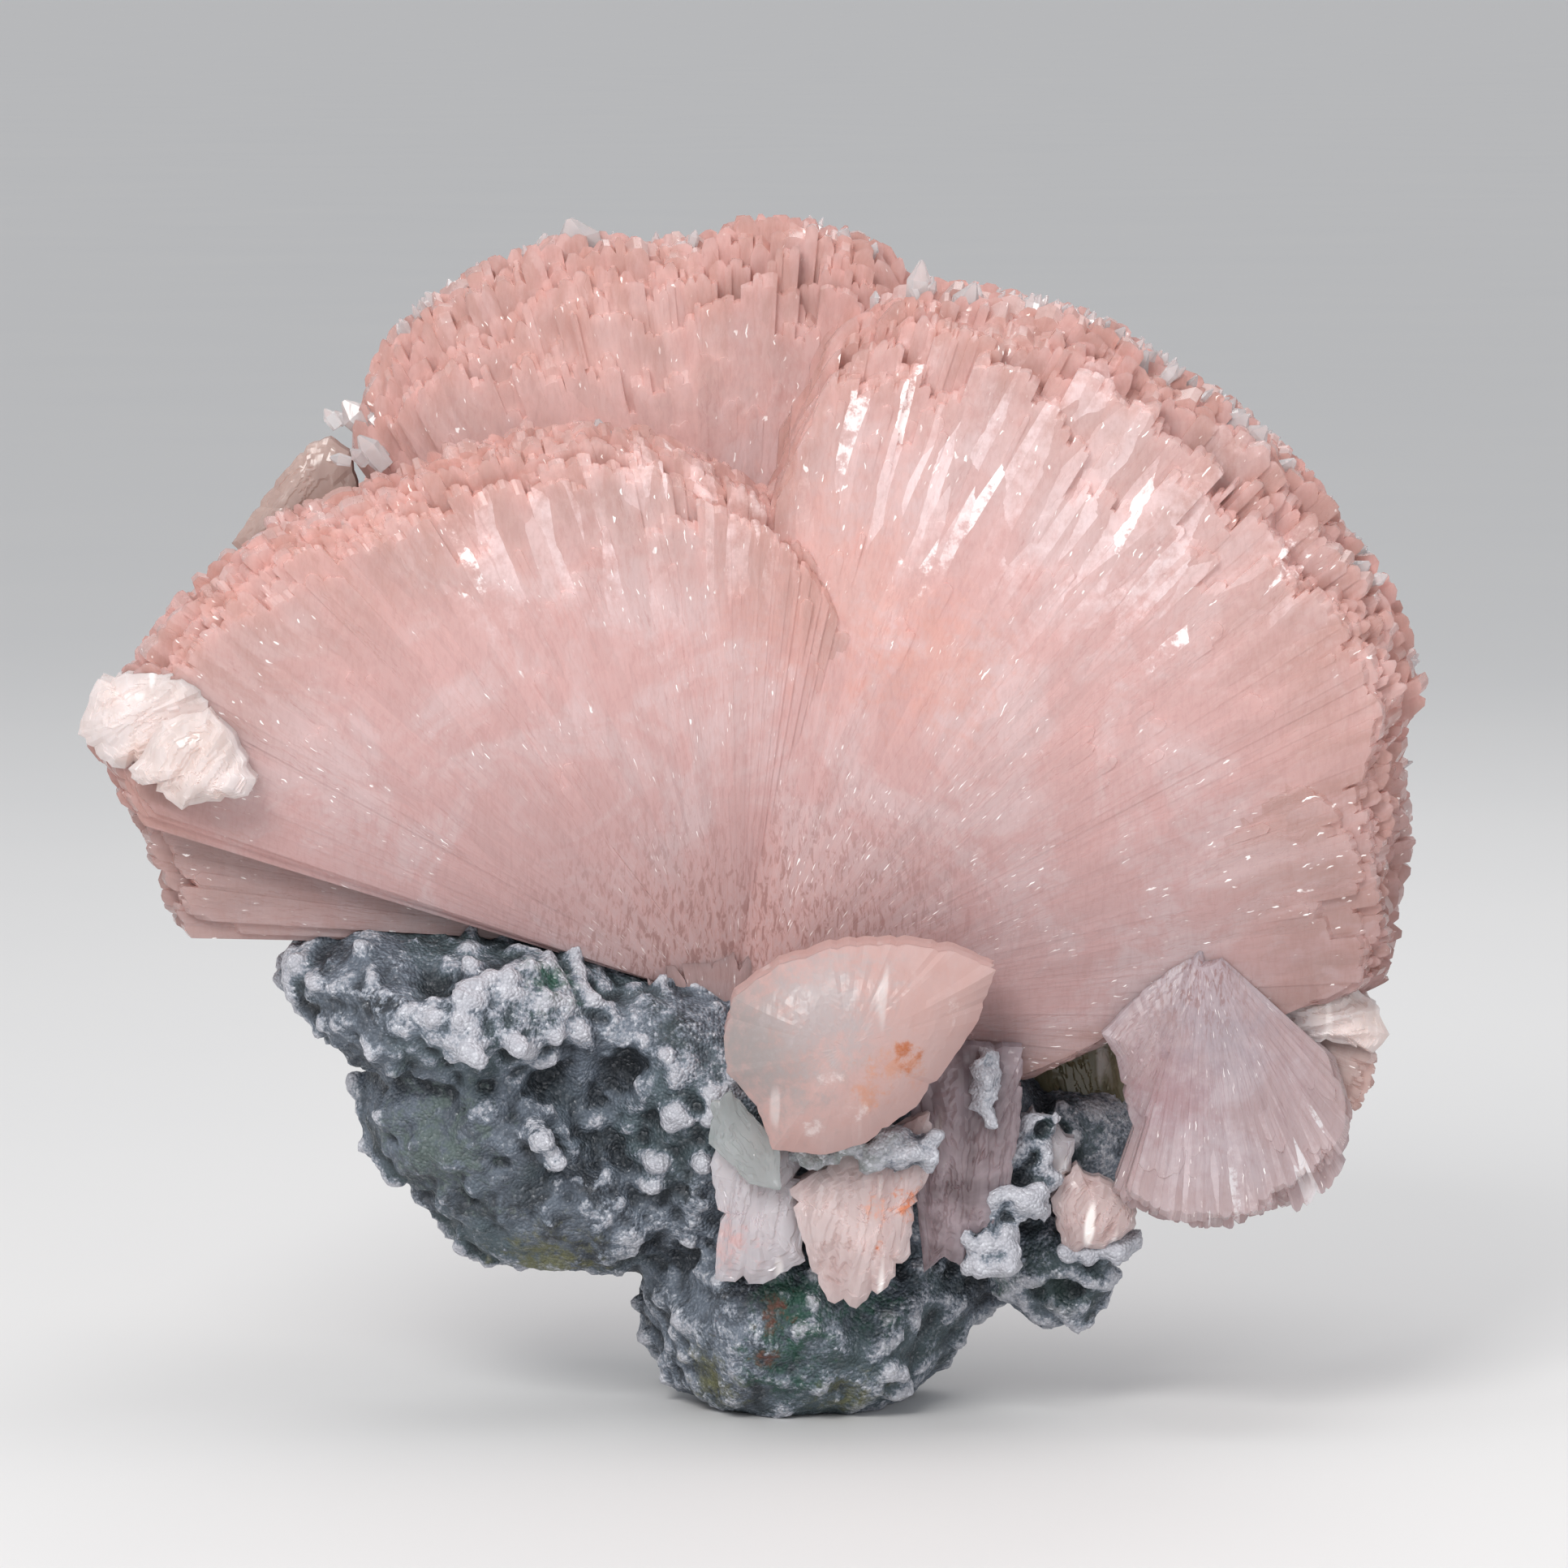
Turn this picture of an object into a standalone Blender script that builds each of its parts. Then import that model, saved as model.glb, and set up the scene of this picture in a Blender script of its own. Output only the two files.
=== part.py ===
"""A heulandite cluster: a pink sheaf of bladed crystals that grew on chalcedony-coated basalt.

The tables below are in millimetres and degrees, and MM turns them into the scene's metres.
+Z is up, +X is to the viewer's right and -Y is towards the viewer. The origin lies near the
middle of the flat face under the rock, which the specimen stands on.

A fan is a bundle of blades that spread from one root like the straws of a sheaf. A blade's
angle is counted from straight up, positive to the right, and its lean is positive away from
the viewer.
"""

import math
import random
from dataclasses import dataclass

import bmesh
import bpy
from mathutils import Vector
from mathutils.bvhtree import BVHTree

MM = 0.001
FAR = 120  # well outside the specimen
ROCK = "matrix_rock"

# Driving sizes, in millimetres
GAP = 0.34  # between two pieces that touch
ROCK_VOXEL = 1.9  # facet size of the rock before it is thinned out
ROCK_KEEP = 0.215  # share of the rock's facets that is kept
CREST = 0.6  # place of a fan's highest layer, from 0 at its front to 1 at its back
CORE_REACH = 0.7  # how far a fan's solid heart reaches, as a share of its blades
OVERLAP = 1.24  # thickness of a layer of blades, as a share of its distance to the next
SIZE_SPREAD = 0.022  # how much a blade's length varies, as a share
VALLEY = 0.95  # where two neighbouring blades part, as a share of the shorter one
SHOULDER = (0.1, 0.965)  # place of a blade's shoulder: share of its width, share of its length
TIP_PLACE = 0.3  # place of the corners of a blade's tip, as a share of its width
TIP_THICKNESS = 0.45  # thickness of a blade's tip, as a share of its shoulder's
VALLEY_THICKNESS = 0.86  # thickness where two blades meet, as a share of the shoulder's


@dataclass(frozen=True)
class Fan:
    """One fan of blades. reach holds (angle, length) pairs, and each other pair is front and back."""

    name: str
    root: tuple
    depth: tuple
    lean: tuple
    drop: tuple
    layers: int
    width: float
    start: float
    reach: tuple
    crown: float = 0.0


SHEAF_ROOT = (-3.6, 36.9)

SHEAF_FANS = (
    Fan(
        name="front_left",
        root=SHEAF_ROOT,
        depth=(-9.0, -1.0),
        lean=(-11.0, -2.0),
        drop=(0.13, 0.05),
        layers=2,
        width=9.0,
        start=5.0,
        reach=((-71, 59), (-67, 64.5), (-62, 64.5), (-56, 63.0), (-50, 62.0), (-43, 60.5),
               (-36, 58.0), (-25, 56.0), (-15, 54.5), (-8, 52), (0, 48), (7, 44.5), (14, 39),
               (22, 33)),
        crown=2.5,
    ),
    Fan(
        name="low_left",
        root=(-7.3, 42.0),
        depth=(-6.0, 3.0),
        lean=(-7.0, 3.0),
        drop=(0.0, 0.0),
        layers=1,
        width=6.4,
        start=12.0,
        reach=((-87.5, 46.5), (-82, 48.5), (-76, 52.5), (-70, 54.5), (-62, 54)),
    ),
    Fan(
        name="back_crest",
        root=SHEAF_ROOT,
        depth=(-1.0, 7.5),
        lean=(-1.5, 9.0),
        drop=(0.16, 0.06),
        layers=2,
        width=9.2,
        start=8.0,
        reach=((-35, 61.5), (-32, 64), (-28, 67), (-23, 69.2), (-18, 69.8), (-12, 69.8),
               (-8, 68.5), (-4, 68.5), (0, 69.5), (5, 70), (9, 69), (14, 67)),
    ),
    Fan(
        name="right",
        root=SHEAF_ROOT,
        depth=(-10.5, 6.0),
        lean=(-7.0, 12.0),
        drop=(0.15, 0.05),
        layers=4,
        width=10.8,
        start=6.0,
        reach=((3, 45), (8, 62), (13, 66), (20, 67.5), (28, 69), (36, 69), (44, 69.6),
               (51, 68.8), (57, 68.8), (64, 67.4), (68, 64.2), (74, 62.2), (80, 60), (86, 58.6),
               (92, 56.5), (96, 50), (100, 34), (105, 25)),
        crown=3.0,
    ),
    Fan(
        name="rear_left",
        root=SHEAF_ROOT,
        depth=(6.0, 11.5),
        lean=(8.0, 19.0),
        drop=(0.04, 0.04),
        layers=1,
        width=9.8,
        start=10.0,
        reach=((-71, 50), (-58, 55), (-44, 57), (-30, 60), (-16, 62), (-4, 60), (5, 58)),
        crown=-3.0,
    ),
    Fan(
        name="rear_right",
        root=SHEAF_ROOT,
        depth=(7.0, 12.0),
        lean=(10.0, 22.0),
        drop=(0.04, 0.04),
        layers=1,
        width=9.8,
        start=10.0,
        reach=((0, 58), (12, 61), (24, 62), (36, 61.5), (48, 60.5), (60, 59), (74, 55),
               (86, 48)),
        crown=-3.0,
    ),
)

BOWTIE_FAN = Fan(
    name="bowtie",
    root=(37.0, 43.4),
    depth=(-17.0, -13.5),
    lean=(-9.0, 4.0),
    drop=(0.08, 0.03),
    layers=2,
    width=5.8,
    start=2.4,
    reach=((133, 18), (138, 22), (145, 24.6), (152, 25.8), (160, 26.2), (168, 26.6),
           (176, 26.8), (184, 26.4), (192, 26), (198, 24.6)),
    crown=1.0,
)
BOWTIE_WING = ((35.4, 41.2), (32.1, 39.2), (28.3, 35.4), (29.4, 33.6), (30.4, 28.4),
               (31.6, 23.8), (35.6, 23.0), (37.6, 33.0))
BOWTIE_WING_Y = (-12.0, -17.6)

SMALL_PINK_FAN = Fan(
    name="small_pink",
    root=(40.0, 37.2),
    depth=(-11.0, -7.0),
    lean=(-8.0, 8.0),
    drop=(0.0, 0.0),
    layers=1,
    width=4.0,
    start=1.0,
    reach=((98, 11.6), (106, 13), (116, 13.4), (126, 13.8), (136, 13.4), (146, 11.6)),
)

# Each lump of the rock: centre, then half-sizes
ROCK_LUMPS = (
    ((-28, -2, 37), (15, 18, 7)),
    ((-34.5, -2, 40), (10.5, 14, 5.5)),
    ((-25.5, 2, 27), (12.5, 18, 9.5)),
    ((-18.5, 2, 19.5), (14, 16, 8)),
    ((-2, 4, 26), (18, 20, 14)),
    ((-11, -5, 33.5), (11, 12, 7)),
    ((0.5, 3, 9), (13, 18.5, 12)),
    ((14, 3, 24), (11, 16, 12)),
    ((11, 3, 11), (8, 12, 8)),
    ((6, 3, 8), (11, 16, 10.5)),
    ((24.5, -4, 13), (6, 7, 5.2)),
    ((23, 9, 30), (9, 10, 10)),
    ((-2, 13, 34), (28, 15, 17)),
)

# Knobs on the rock's front: x, z, radius. Each sits on the lumps behind it.
ROCK_KNOBS = (
    (-42.0, 39.6, 2.6), (-38.3, 36.2, 2.4), (-37.4, 32.6, 2.1), (-33.6, 39.4, 3.0),
    (-29.0, 34.6, 2.6), (-22.6, 35.2, 3.8), (-17.9, 40.6, 2.2), (-14.6, 38.0, 3.0),
    (-35.0, 28.4, 2.4), (-27.4, 23.4, 2.8), (-22.6, 25.9, 3.6), (-33.0, 21.8, 2.2),
    (-25.6, 18.2, 2.4), (-17.0, 21.6, 2.6), (-12.6, 18.4, 2.4), (-8.4, 21.0, 2.2),
    (-12.0, 26.8, 2.6), (-7.0, 27.4, 2.2), (-4.4, 31.0, 3.6), (3.0, 27.6, 3.0),
    (-7.6, 9.8, 3.0), (0.0, 8.6, 3.2), (7.4, 9.4, 3.0), (3.6, 3.4, 2.4), (12.6, 6.6, 2.4),
    (16.2, 18.2, 2.4), (15.7, 14.0, 3.0), (22.0, 16.6, 2.6), (27.2, 14.4, 2.3),
    (20.6, 10.4, 2.4), (23.0, 27.6, 2.5), (16.0, 32.6, 2.4),
)

# Fingers of chalcedony: foot x, z, tip x, z, radius, how far the tip stands out
ROCK_FINGERS = (
    (-30.4, 37.4, -26.3, 34.2, 1.7, 2.6),
    (-14.2, 28.6, -11.0, 30.0, 1.5, 2.8),
    (-13.4, 25.4, -10.6, 23.8, 1.5, 3.2),
    (-13.8, 23.0, -11.0, 21.6, 1.4, 2.4),
    (-7.4, 24.6, -6.6, 24.0, 1.4, 2.6),
    (-21.6, 27.4, -20.4, 26.6, 1.6, 3.4),
    (15.3, 23.2, 18.8, 21.4, 1.6, 3.0),
    (22.2, 23.0, 20.6, 20.6, 1.7, 2.4),
)

# Pits in the rock: centre, then half-sizes
ROCK_PITS = (
    ((-17.0, -17.5, 31.2), (5.2, 7.0, 2.9)),
    ((24.9, -11.2, 11.2), (3.4, 3.4, 2.2)),
    ((-31.6, -19.0, 41.0), (4.4, 4.0, 2.2)),
)

# Where the rock broke: a point of each flat break and the way it faces
ROCK_BREAKS = (
    ((-6, 24.5, 30), (0.12, 1.0, 0.10)),
    ((20, 18, 34), (0.75, 1.0, 0.35)),
    ((-26, 17, 34), (-0.65, 1.0, -0.05)),
    ((-14, 17, 12), (-0.45, 0.9, -0.7)),
    ((12, 15, 12), (0.6, 0.9, -0.55)),
)

REAR_KNOBS = 24
REAR_KNOB_SIZE = (2.2, 4.4)

# Single crystals, each an outline seen from the front (x, z), with the y of its back and front
FRONT_BLOCK = (
    (-4.9, 36.6), (-4.2, 40.0), (-0.6, 42.8), (5.0, 44.6), (11.0, 44.9), (15.5, 43.9),
    (19.2, 41.6), (17.6, 36.6), (15.0, 32.6), (12.2, 29.0), (7.8, 26.2), (4.0, 25.2),
    (-0.6, 25.8), (-2.0, 30.0), (-4.6, 33.2),
)
FRONT_BLOCK_Y = (-15.5, -28.5)

CLEAR_BLADE = ((-49.0, 78.0), (-45.4, 83.2), (-42.2, 86.8), (-40.2, 87.5), (-38.4, 86.2),
               (-37.0, 80.0), (-39.0, 74.0), (-46.0, 74.0))
CLEAR_BLADE_Y = (3.0, -2.5)

VIOLET_BLADE = ((11.4, 35.0), (21.6, 34.6), (21.4, 28.0), (20.4, 20.0), (18.6, 14.2),
                (12.6, 14.6), (11.8, 24.0))
VIOLET_BLADE_Y = (-11.6, -17.4)

WHITE_PLATE = ((-6.2, 24.4), (-4.4, 28.6), (2.0, 26.0), (2.0, 20.0), (2.4, 15.6), (-1.4, 13.4),
               (-5.8, 13.8), (-5.4, 19.0))
WHITE_PLATE_Y = (-14.0, -18.2)

SPLINTER = ((0.8, 22.4), (5.4, 25.4), (13.4, 29.4), (13.8, 25.4), (12.0, 20.2), (11.6, 16.6),
            (9.6, 13.6), (6.8, 11.6), (4.2, 12.2), (2.4, 16.2))
SPLINTER_Y = (-14.5, -20.4)

THIN_BLADE = ((-6.0, 30.4), (-4.2, 31.2), (0.1, 26.4), (0.2, 22.4), (-2.6, 23.0), (-6.2, 26.6))
THIN_BLADE_Y = (-18.6, -20.8)

LILAC_PLATE = ((19.8, 26.2), (22.6, 28.4), (26.4, 25.6), (26.0, 21.4), (22.4, 19.6), (20.0, 22.2))
LILAC_PLATE_Y = (-7.0, -12.0)

PALE_PLATE = ((24.0, 20.4), (26.4, 23.8), (29.6, 22.0), (32.2, 19.8), (31.8, 17.6), (29.0, 15.8),
              (25.2, 15.4))
PALE_PLATE_Y = (-8.6, -13.4)

OLIVE_BLADE = ((22.0, 34.0), (31.0, 35.0), (31.4, 28.0), (27.8, 24.6), (23.4, 27.4))
OLIVE_BLADE_Y = (1.0, -3.0)

CREAM_CAP = ((42.4, 38.2), (45.0, 39.0), (51.6, 39.2), (54.2, 36.6), (54.9, 34.4), (53.6, 32.8),
             (50.8, 34.0), (44.4, 35.0))
CREAM_CAP_Y = (-6.5, -13.5)

LEFT_BLOCK = ((-62.6, 61.9), (-61.8, 64.8), (-60.8, 66.7), (-57.8, 67.4), (-52.8, 67.4),
              (-51.0, 65.6), (-51.6, 61.2), (-55.4, 58.8), (-59.6, 58.8))
LEFT_BLOCK_Y = (-12.0, -22.0)
LEFT_WING = ((-59.0, 58.6), (-55.6, 63.4), (-51.4, 64.6), (-49.0, 62.0), (-47.5, 58.2),
             (-48.0, 56.4), (-50.6, 56.2), (-54.0, 55.4), (-56.4, 57.0))
LEFT_WING_Y = (-17.0, -24.6)

ROOT_CHIP = ((15.2, 9.0), (18.8, 9.4), (18.6, 7.2), (17.4, 6.2), (15.6, 7.2))
ROOT_CHIP_Y = (12.0, 7.0)

# Small clear crystals on the rims: name, fan, angle, distance of the tip from the root, place
# between the fan's front and back, length, half-width, and how far the tip leans to the right
RIM_CRYSTALS = (
    ("rim_crystal_left_high", "back_crest", -34.0, 66.6, 0.22, 5.6, 1.8, -1.2),
    ("rim_crystal_left_low", "front_left", -33.5, 61.2, 0.95, 4.6, 1.3, -0.8),
    ("rim_crystal_crest", "front_left", -13.4, 54.6, 0.50, 4.2, 1.2, 0.2),
    ("rim_crystal_top", "back_crest", -11.9, 71.6, 0.42, 5.2, 2.2, -0.6),
    ("rim_crystal_fork_a", "right", 14.2, 68.6, 0.30, 4.8, 1.2, -0.6),
    ("rim_crystal_fork_b", "right", 17.4, 68.0, 0.26, 4.6, 1.3, 0.7),
    ("rim_crystal_notch", "right", 22.6, 63.8, 0.12, 4.2, 1.5, 0.6),
    ("rim_crystal_arch", "right", 31.4, 69.0, 0.26, 4.6, 1.3, 0.4),
    ("rim_crystal_right_high", "right", 40.0, 69.6, 0.24, 5.0, 2.0, 0.3),
    ("rim_crystal_right_low", "right", 44.8, 69.6, 0.26, 4.4, 1.4, 0.5),
    ("rim_crystal_right_end", "right", 54.2, 68.8, 0.22, 4.4, 1.3, 0.2),
)

COLOURS = {
    "pink": ((0.80, 0.44, 0.38, 1), 0.32),
    "pale_pink": ((0.82, 0.60, 0.55, 1), 0.28),
    "clear": ((0.86, 0.84, 0.85, 1), 0.12),
    "cream": ((0.86, 0.76, 0.66, 1), 0.35),
    "violet": ((0.55, 0.46, 0.50, 1), 0.25),
    "rock": ((0.30, 0.34, 0.38, 1), 0.75),
}


def clear_scene():
    for old in list(bpy.data.objects):
        bpy.data.objects.remove(old)


def finish_of(name):
    """The named finish as a material, made once."""
    known = bpy.data.materials.get(name)
    if known:
        return known
    colour, roughness = COLOURS[name]
    made = bpy.data.materials.new(name)
    made.use_nodes = True
    shader = made.node_tree.nodes["Principled BSDF"]
    shader.inputs["Base Color"].default_value = colour
    shader.inputs["Roughness"].default_value = roughness
    shader.inputs["Metallic"].default_value = 0.0
    return made


def object_from(form, name):
    """A bmesh as a linked object, in metres."""
    mesh = bpy.data.meshes.new(name)
    form.to_mesh(mesh)
    form.free()
    made = bpy.data.objects.new(name, mesh)
    bpy.context.scene.collection.objects.link(made)
    return made


def hull_of(points):
    """The closed convex solid round these points, as a bmesh."""
    form = bmesh.new()
    for point in points:
        form.verts.new(Vector(point) * MM)
    done = bmesh.ops.convex_hull(form, input=form.verts)
    loose = [piece for piece in done["geom_interior"] if isinstance(piece, bmesh.types.BMVert)]
    bmesh.ops.delete(form, geom=loose, context="VERTS")
    bmesh.ops.recalc_face_normals(form, faces=form.faces)
    return form


def evaluated(source):
    """The object's mesh as its modifiers leave it."""
    graph = bpy.context.evaluated_depsgraph_get()
    return bpy.data.meshes.new_from_object(source.evaluated_get(graph))


def settled(source, mesh=None):
    """A new object of the same name that holds the mesh, with no modifiers. The source goes."""
    name = source.name
    mesh = mesh or evaluated(source)
    bpy.data.objects.remove(source)
    made = bpy.data.objects.new(name, mesh)
    bpy.context.scene.collection.objects.link(made)
    return made


def is_closed(mesh):
    """Whether each edge is shared by two faces."""
    form = bmesh.new()
    form.from_mesh(mesh)
    closed = bool(form.faces) and all(len(edge.link_faces) == 2 for edge in form.edges)
    form.free()
    return closed


def combine(target, others, operation):
    """Joins the others to the target, or cuts them from it. The others go.

    The second solver serves where the first leaves a hole in so finely cut a shape.
    """
    group = bpy.data.collections.new("helpers")
    bpy.context.scene.collection.children.link(group)
    for other in others:
        group.objects.link(other)
    boolean = target.modifiers.new("combine", "BOOLEAN")
    boolean.operand_type = "COLLECTION"
    boolean.collection = group
    boolean.operation = operation
    for boolean.solver in ("EXACT", "MANIFOLD"):
        mesh = evaluated(target)
        if is_closed(mesh):
            break
    made = settled(target, mesh)
    for other in others:
        bpy.data.objects.remove(other)
    bpy.data.collections.remove(group)
    return made


def room_round(thing):
    """A cutter a little larger than the thing. A crystal's is convex, and the rock's is not."""
    if thing.name == ROCK:
        form = bmesh.new()
        form.from_mesh(thing.data)
    else:
        form = hull_of([vert.co / MM for vert in thing.data.vertices])
    form.normal_update()
    pushed = [vert.co + vert.normal * vert.calc_shell_factor() * GAP * MM for vert in form.verts]
    for vert, place in zip(form.verts, pushed):
        vert.co = place
    made = object_from(form, thing.name + "_room")
    made.display_type = "WIRE"
    made.hide_render = True
    return made


def box_of(thing):
    low = Vector(map(min, *(vert.co for vert in thing.data.vertices)))
    high = Vector(map(max, *(vert.co for vert in thing.data.vertices)))
    return low, high


def boxes_meet(one, other):
    (low, high), (other_low, other_high) = box_of(one), box_of(other)
    return all(low[i] <= other_high[i] and other_low[i] <= high[i] for i in range(3))


def islands_of(form):
    """The connected groups of faces of a bmesh."""
    left, groups = set(form.faces), []
    while left:
        waiting, group = [left.pop()], []
        while waiting:
            face = waiting.pop()
            group.append(face)
            for edge in face.edges:
                for near in edge.link_faces:
                    if near in left:
                        left.remove(near)
                        waiting.append(near)
        groups.append(group)
    return groups


def keep_main_body(thing):
    """Removes the crumbs that a cut leaves beside the main body."""
    form = bmesh.new()
    form.from_mesh(thing.data)
    groups = sorted(islands_of(form), key=lambda faces: sum(face.calc_area() for face in faces))
    crumbs = [face for group in groups[:-1] for face in group]
    bmesh.ops.delete(form, geom=crumbs, context="FACES")
    bmesh.ops.triangulate(form, faces=form.faces)
    form.to_mesh(thing.data)
    form.free()


def make_room(thing, neighbours):
    """Cuts the thing back from each neighbour that it would run into, leaving the gap."""
    cutters = [room_round(near) for near in neighbours if boxes_meet(thing, near)]
    if cutters:
        thing = combine(thing, cutters, "DIFFERENCE")
    keep_main_body(thing)
    return thing


def dress(thing, finish):
    thing.data.materials.clear()
    thing.data.materials.append(finish_of(finish))
    return thing


def reach_at(fan, angle):
    """The blades' length at this angle, read along the fan's outline."""
    for (low, short), (high, long) in zip(fan.reach, fan.reach[1:]):
        if angle <= high:
            share = max(0.0, (angle - low) / (high - low))
            return short + (long - short) * share
    return fan.reach[-1][1]


def between(pair, share):
    return pair[0] + (pair[1] - pair[0]) * share


def crest_share(fan, layer):
    """How much of the full length the blades of this layer have."""
    if layer < CREST:
        return 1 - fan.drop[0] * ((CREST - layer) / CREST) ** 2
    return 1 - fan.drop[1] * ((layer - CREST) / (1 - CREST)) ** 2


def blade_axes(angle, lean):
    """Unit vectors along a blade and out of its face."""
    a, b = math.radians(angle), math.radians(lean)
    along = Vector((math.sin(a) * math.cos(b), math.sin(b), math.cos(a) * math.cos(b)))
    across = Vector((math.cos(a), 0, -math.sin(a)))
    return along, along.cross(across).normalized()


def root_of(fan, angle, layer):
    """Where the blades at this angle start. A fan's edges lie further back than its middle."""
    low, high = fan.reach[0][0], fan.reach[-1][0]
    middle, half = (low + high) / 2, (high - low) / 2
    back = fan.crown * ((angle - middle) / half) ** 2
    return Vector((fan.root[0], between(fan.depth, layer) + back, fan.root[1]))


def fan_core(fan):
    """The solid heart of the fan, which its layers of blades stand out of."""
    points = []
    low, high = fan.reach[0][0], fan.reach[-1][0]
    steps = 7
    for layer in (0.1, 0.9):
        for step in range(steps + 1):
            angle = low + (high - low) * step / steps
            along, _ = blade_axes(angle, between(fan.lean, layer))
            root = root_of(fan, angle, layer)
            far = reach_at(fan, angle) * crest_share(fan, layer) * CORE_REACH
            points += [root + along * fan.start, root + along * far]
    return hull_of(points)


def blade_cells(fan, layer, shift, draw):
    """The blades of one layer, each as (first angle, last angle, length)."""
    low, high = fan.reach[0][0], fan.reach[-1][0]
    cells = []
    angle = low
    while angle < high:
        full = reach_at(fan, angle)
        step = math.degrees(fan.width / full) * draw.uniform(0.65, 1.35)
        if not cells:
            step *= shift
        last = high if high - angle - step < 0.5 * step else angle + step
        length = reach_at(fan, (angle + last) / 2) * crest_share(fan, layer)
        cells.append((angle, last, length * (1 + draw.uniform(-SIZE_SPREAD, SIZE_SPREAD))))
        angle = last
    return cells


def layer_solid(fan, level):
    """One layer of blades side by side: flat faces, a groove between two, and bevelled tips."""
    draw = random.Random(fan.name + str(level))
    layer = (level + 0.5) / fan.layers
    lean = between(fan.lean, layer)
    foot = 0.5 * OVERLAP * (fan.depth[1] - fan.depth[0]) / fan.layers
    spread = 0.5 * OVERLAP * math.radians(fan.lean[1] - fan.lean[0]) / fan.layers
    form = bmesh.new()

    def corner(angle, distance, share=1.0):
        """The front and the back vertex at this place in the layer."""
        along, face = blade_axes(angle, lean)
        middle = root_of(fan, angle, layer) + along * distance
        half = (foot + spread * distance) * share
        return [form.verts.new((middle + face * side * half) * MM) for side in (1, -1)]

    cells = blade_cells(fan, layer, 0.5 + 0.5 * (level % 2), draw)
    low, high = cells[0][0], cells[-1][1]
    roots = [corner(low, fan.start), corner(high, fan.start)]
    parting = [cells[0][2] * VALLEY]
    parting += [min(one[2], other[2]) * VALLEY for one, other in zip(cells, cells[1:])]
    parting.append(cells[-1][2] * VALLEY)
    angles = [cell[0] for cell in cells] + [high]
    valleys = [corner(a, r, VALLEY_THICKNESS) for a, r in zip(angles, parting)]
    rim = [valleys[0]]
    faces = []
    for index, (first, last, length) in enumerate(cells):
        width = last - first
        low_root = roots[0] if index < len(cells) / 2 else roots[1]
        place, share = SHOULDER
        shoulders = [corner(a, length * share) for a in (first + place * width, last - place * width)]
        tips = [corner(a, length, TIP_THICKNESS)
                for a in (first + TIP_PLACE * width, last - TIP_PLACE * width)]
        faces += [
            (low_root, valleys[index], shoulders[0]),
            (low_root, shoulders[0], shoulders[1]),
            (low_root, shoulders[1], valleys[index + 1]),
            (shoulders[0], tips[0], tips[1]),
            (shoulders[0], tips[1], shoulders[1]),
        ]
        rim += [shoulders[0], tips[0], tips[1], shoulders[1], valleys[index + 1]]
    middle = valleys[math.ceil(len(cells) / 2)]
    faces.append((roots[0], middle, roots[1]))
    rim += [roots[1], roots[0]]
    for corners in faces:
        form.faces.new([pair[0] for pair in corners])
        form.faces.new([pair[1] for pair in reversed(corners)])
    for one, other in zip(rim, rim[1:] + rim[:1]):
        form.faces.new((one[1], other[1], other[0], one[0]))
    bmesh.ops.triangulate(form, faces=form.faces)
    bmesh.ops.recalc_face_normals(form, faces=form.faces)
    return form


def make_fans(name, fans, *more):
    """The fans, and any more solids, grown together in one."""
    cores = [object_from(fan_core(fan), name) for fan in fans]
    cores[0].name = name
    layers = [
        object_from(layer_solid(fan, level), "layer")
        for fan in fans
        for level in range(fan.layers)
    ]
    return combine(cores[0], [*cores[1:], *layers, *more], "UNION")


def plate_solid(outline, back, front, edge=0.82):
    """A tabular crystal: its outline in the middle of its thickness, its two faces smaller."""
    centre = sum((Vector(point) for point in outline), Vector((0, 0))) / len(outline)
    middle = back + (front - back) * 0.45
    points = [(x, middle, z) for x, z in outline]
    for y in (back, front):
        for x, z in outline:
            near = centre + (Vector((x, z)) - centre) * edge
            points.append((near.x, y, near.y))
    return hull_of(points)


def make_plate(name, outline, depth, edge=0.82):
    return object_from(plate_solid(outline, *depth, edge), name)


def make_left_cluster(name):
    """Two tabular crystals grown together at the left tip of the sheaf."""
    block = object_from(plate_solid(LEFT_BLOCK, *LEFT_BLOCK_Y), name)
    wing = object_from(plate_solid(LEFT_WING, *LEFT_WING_Y, 0.86), "wing")
    return combine(block, [wing], "UNION")


def make_bowtie(name):
    """The fan at the lower right, with the plate that widens its left side."""
    wing = object_from(plate_solid(BOWTIE_WING, *BOWTIE_WING_Y), "wing")
    return make_fans(name, (BOWTIE_FAN,), wing)


def make_rim_crystal(name, fan_name, angle, distance, layer, length, half_width, swing):
    """A short coffin-shaped crystal: six-sided, flattened, with a roof-shaped end."""
    fan = next(fan for fan in SHEAF_FANS if fan.name == fan_name)
    way, _ = blade_axes(angle, between(fan.lean, layer))
    root = root_of(fan, angle, layer)
    foot = root + way * (distance - length)
    tip = root + way * distance + Vector((swing, 0, 0))
    along = (tip - foot).normalized()
    across = along.cross(Vector((0, 1, 0))).normalized()
    face = across.cross(along)
    points = []
    for share, wide, thick in ((0.0, 0.8, 0.5), (0.7, 1.0, 0.62), (1.0, 0.42, 0.3)):
        centre = foot + along * length * share
        for side, out in ((-1, 0), (1, 0), (-0.6, 1), (0.6, 1), (-0.6, -1), (0.6, -1)):
            offset = across * side * wide * half_width + face * out * thick * half_width
            points.append(centre + offset)
    return object_from(hull_of(points), name)


def add_ball(form, centre, radii, detail=2):
    made = bmesh.ops.create_icosphere(form, subdivisions=detail, radius=1.0)
    for vert in made["verts"]:
        vert.co = Vector(c + r * v for c, r, v in zip(centre, radii, vert.co)) * MM


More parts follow.
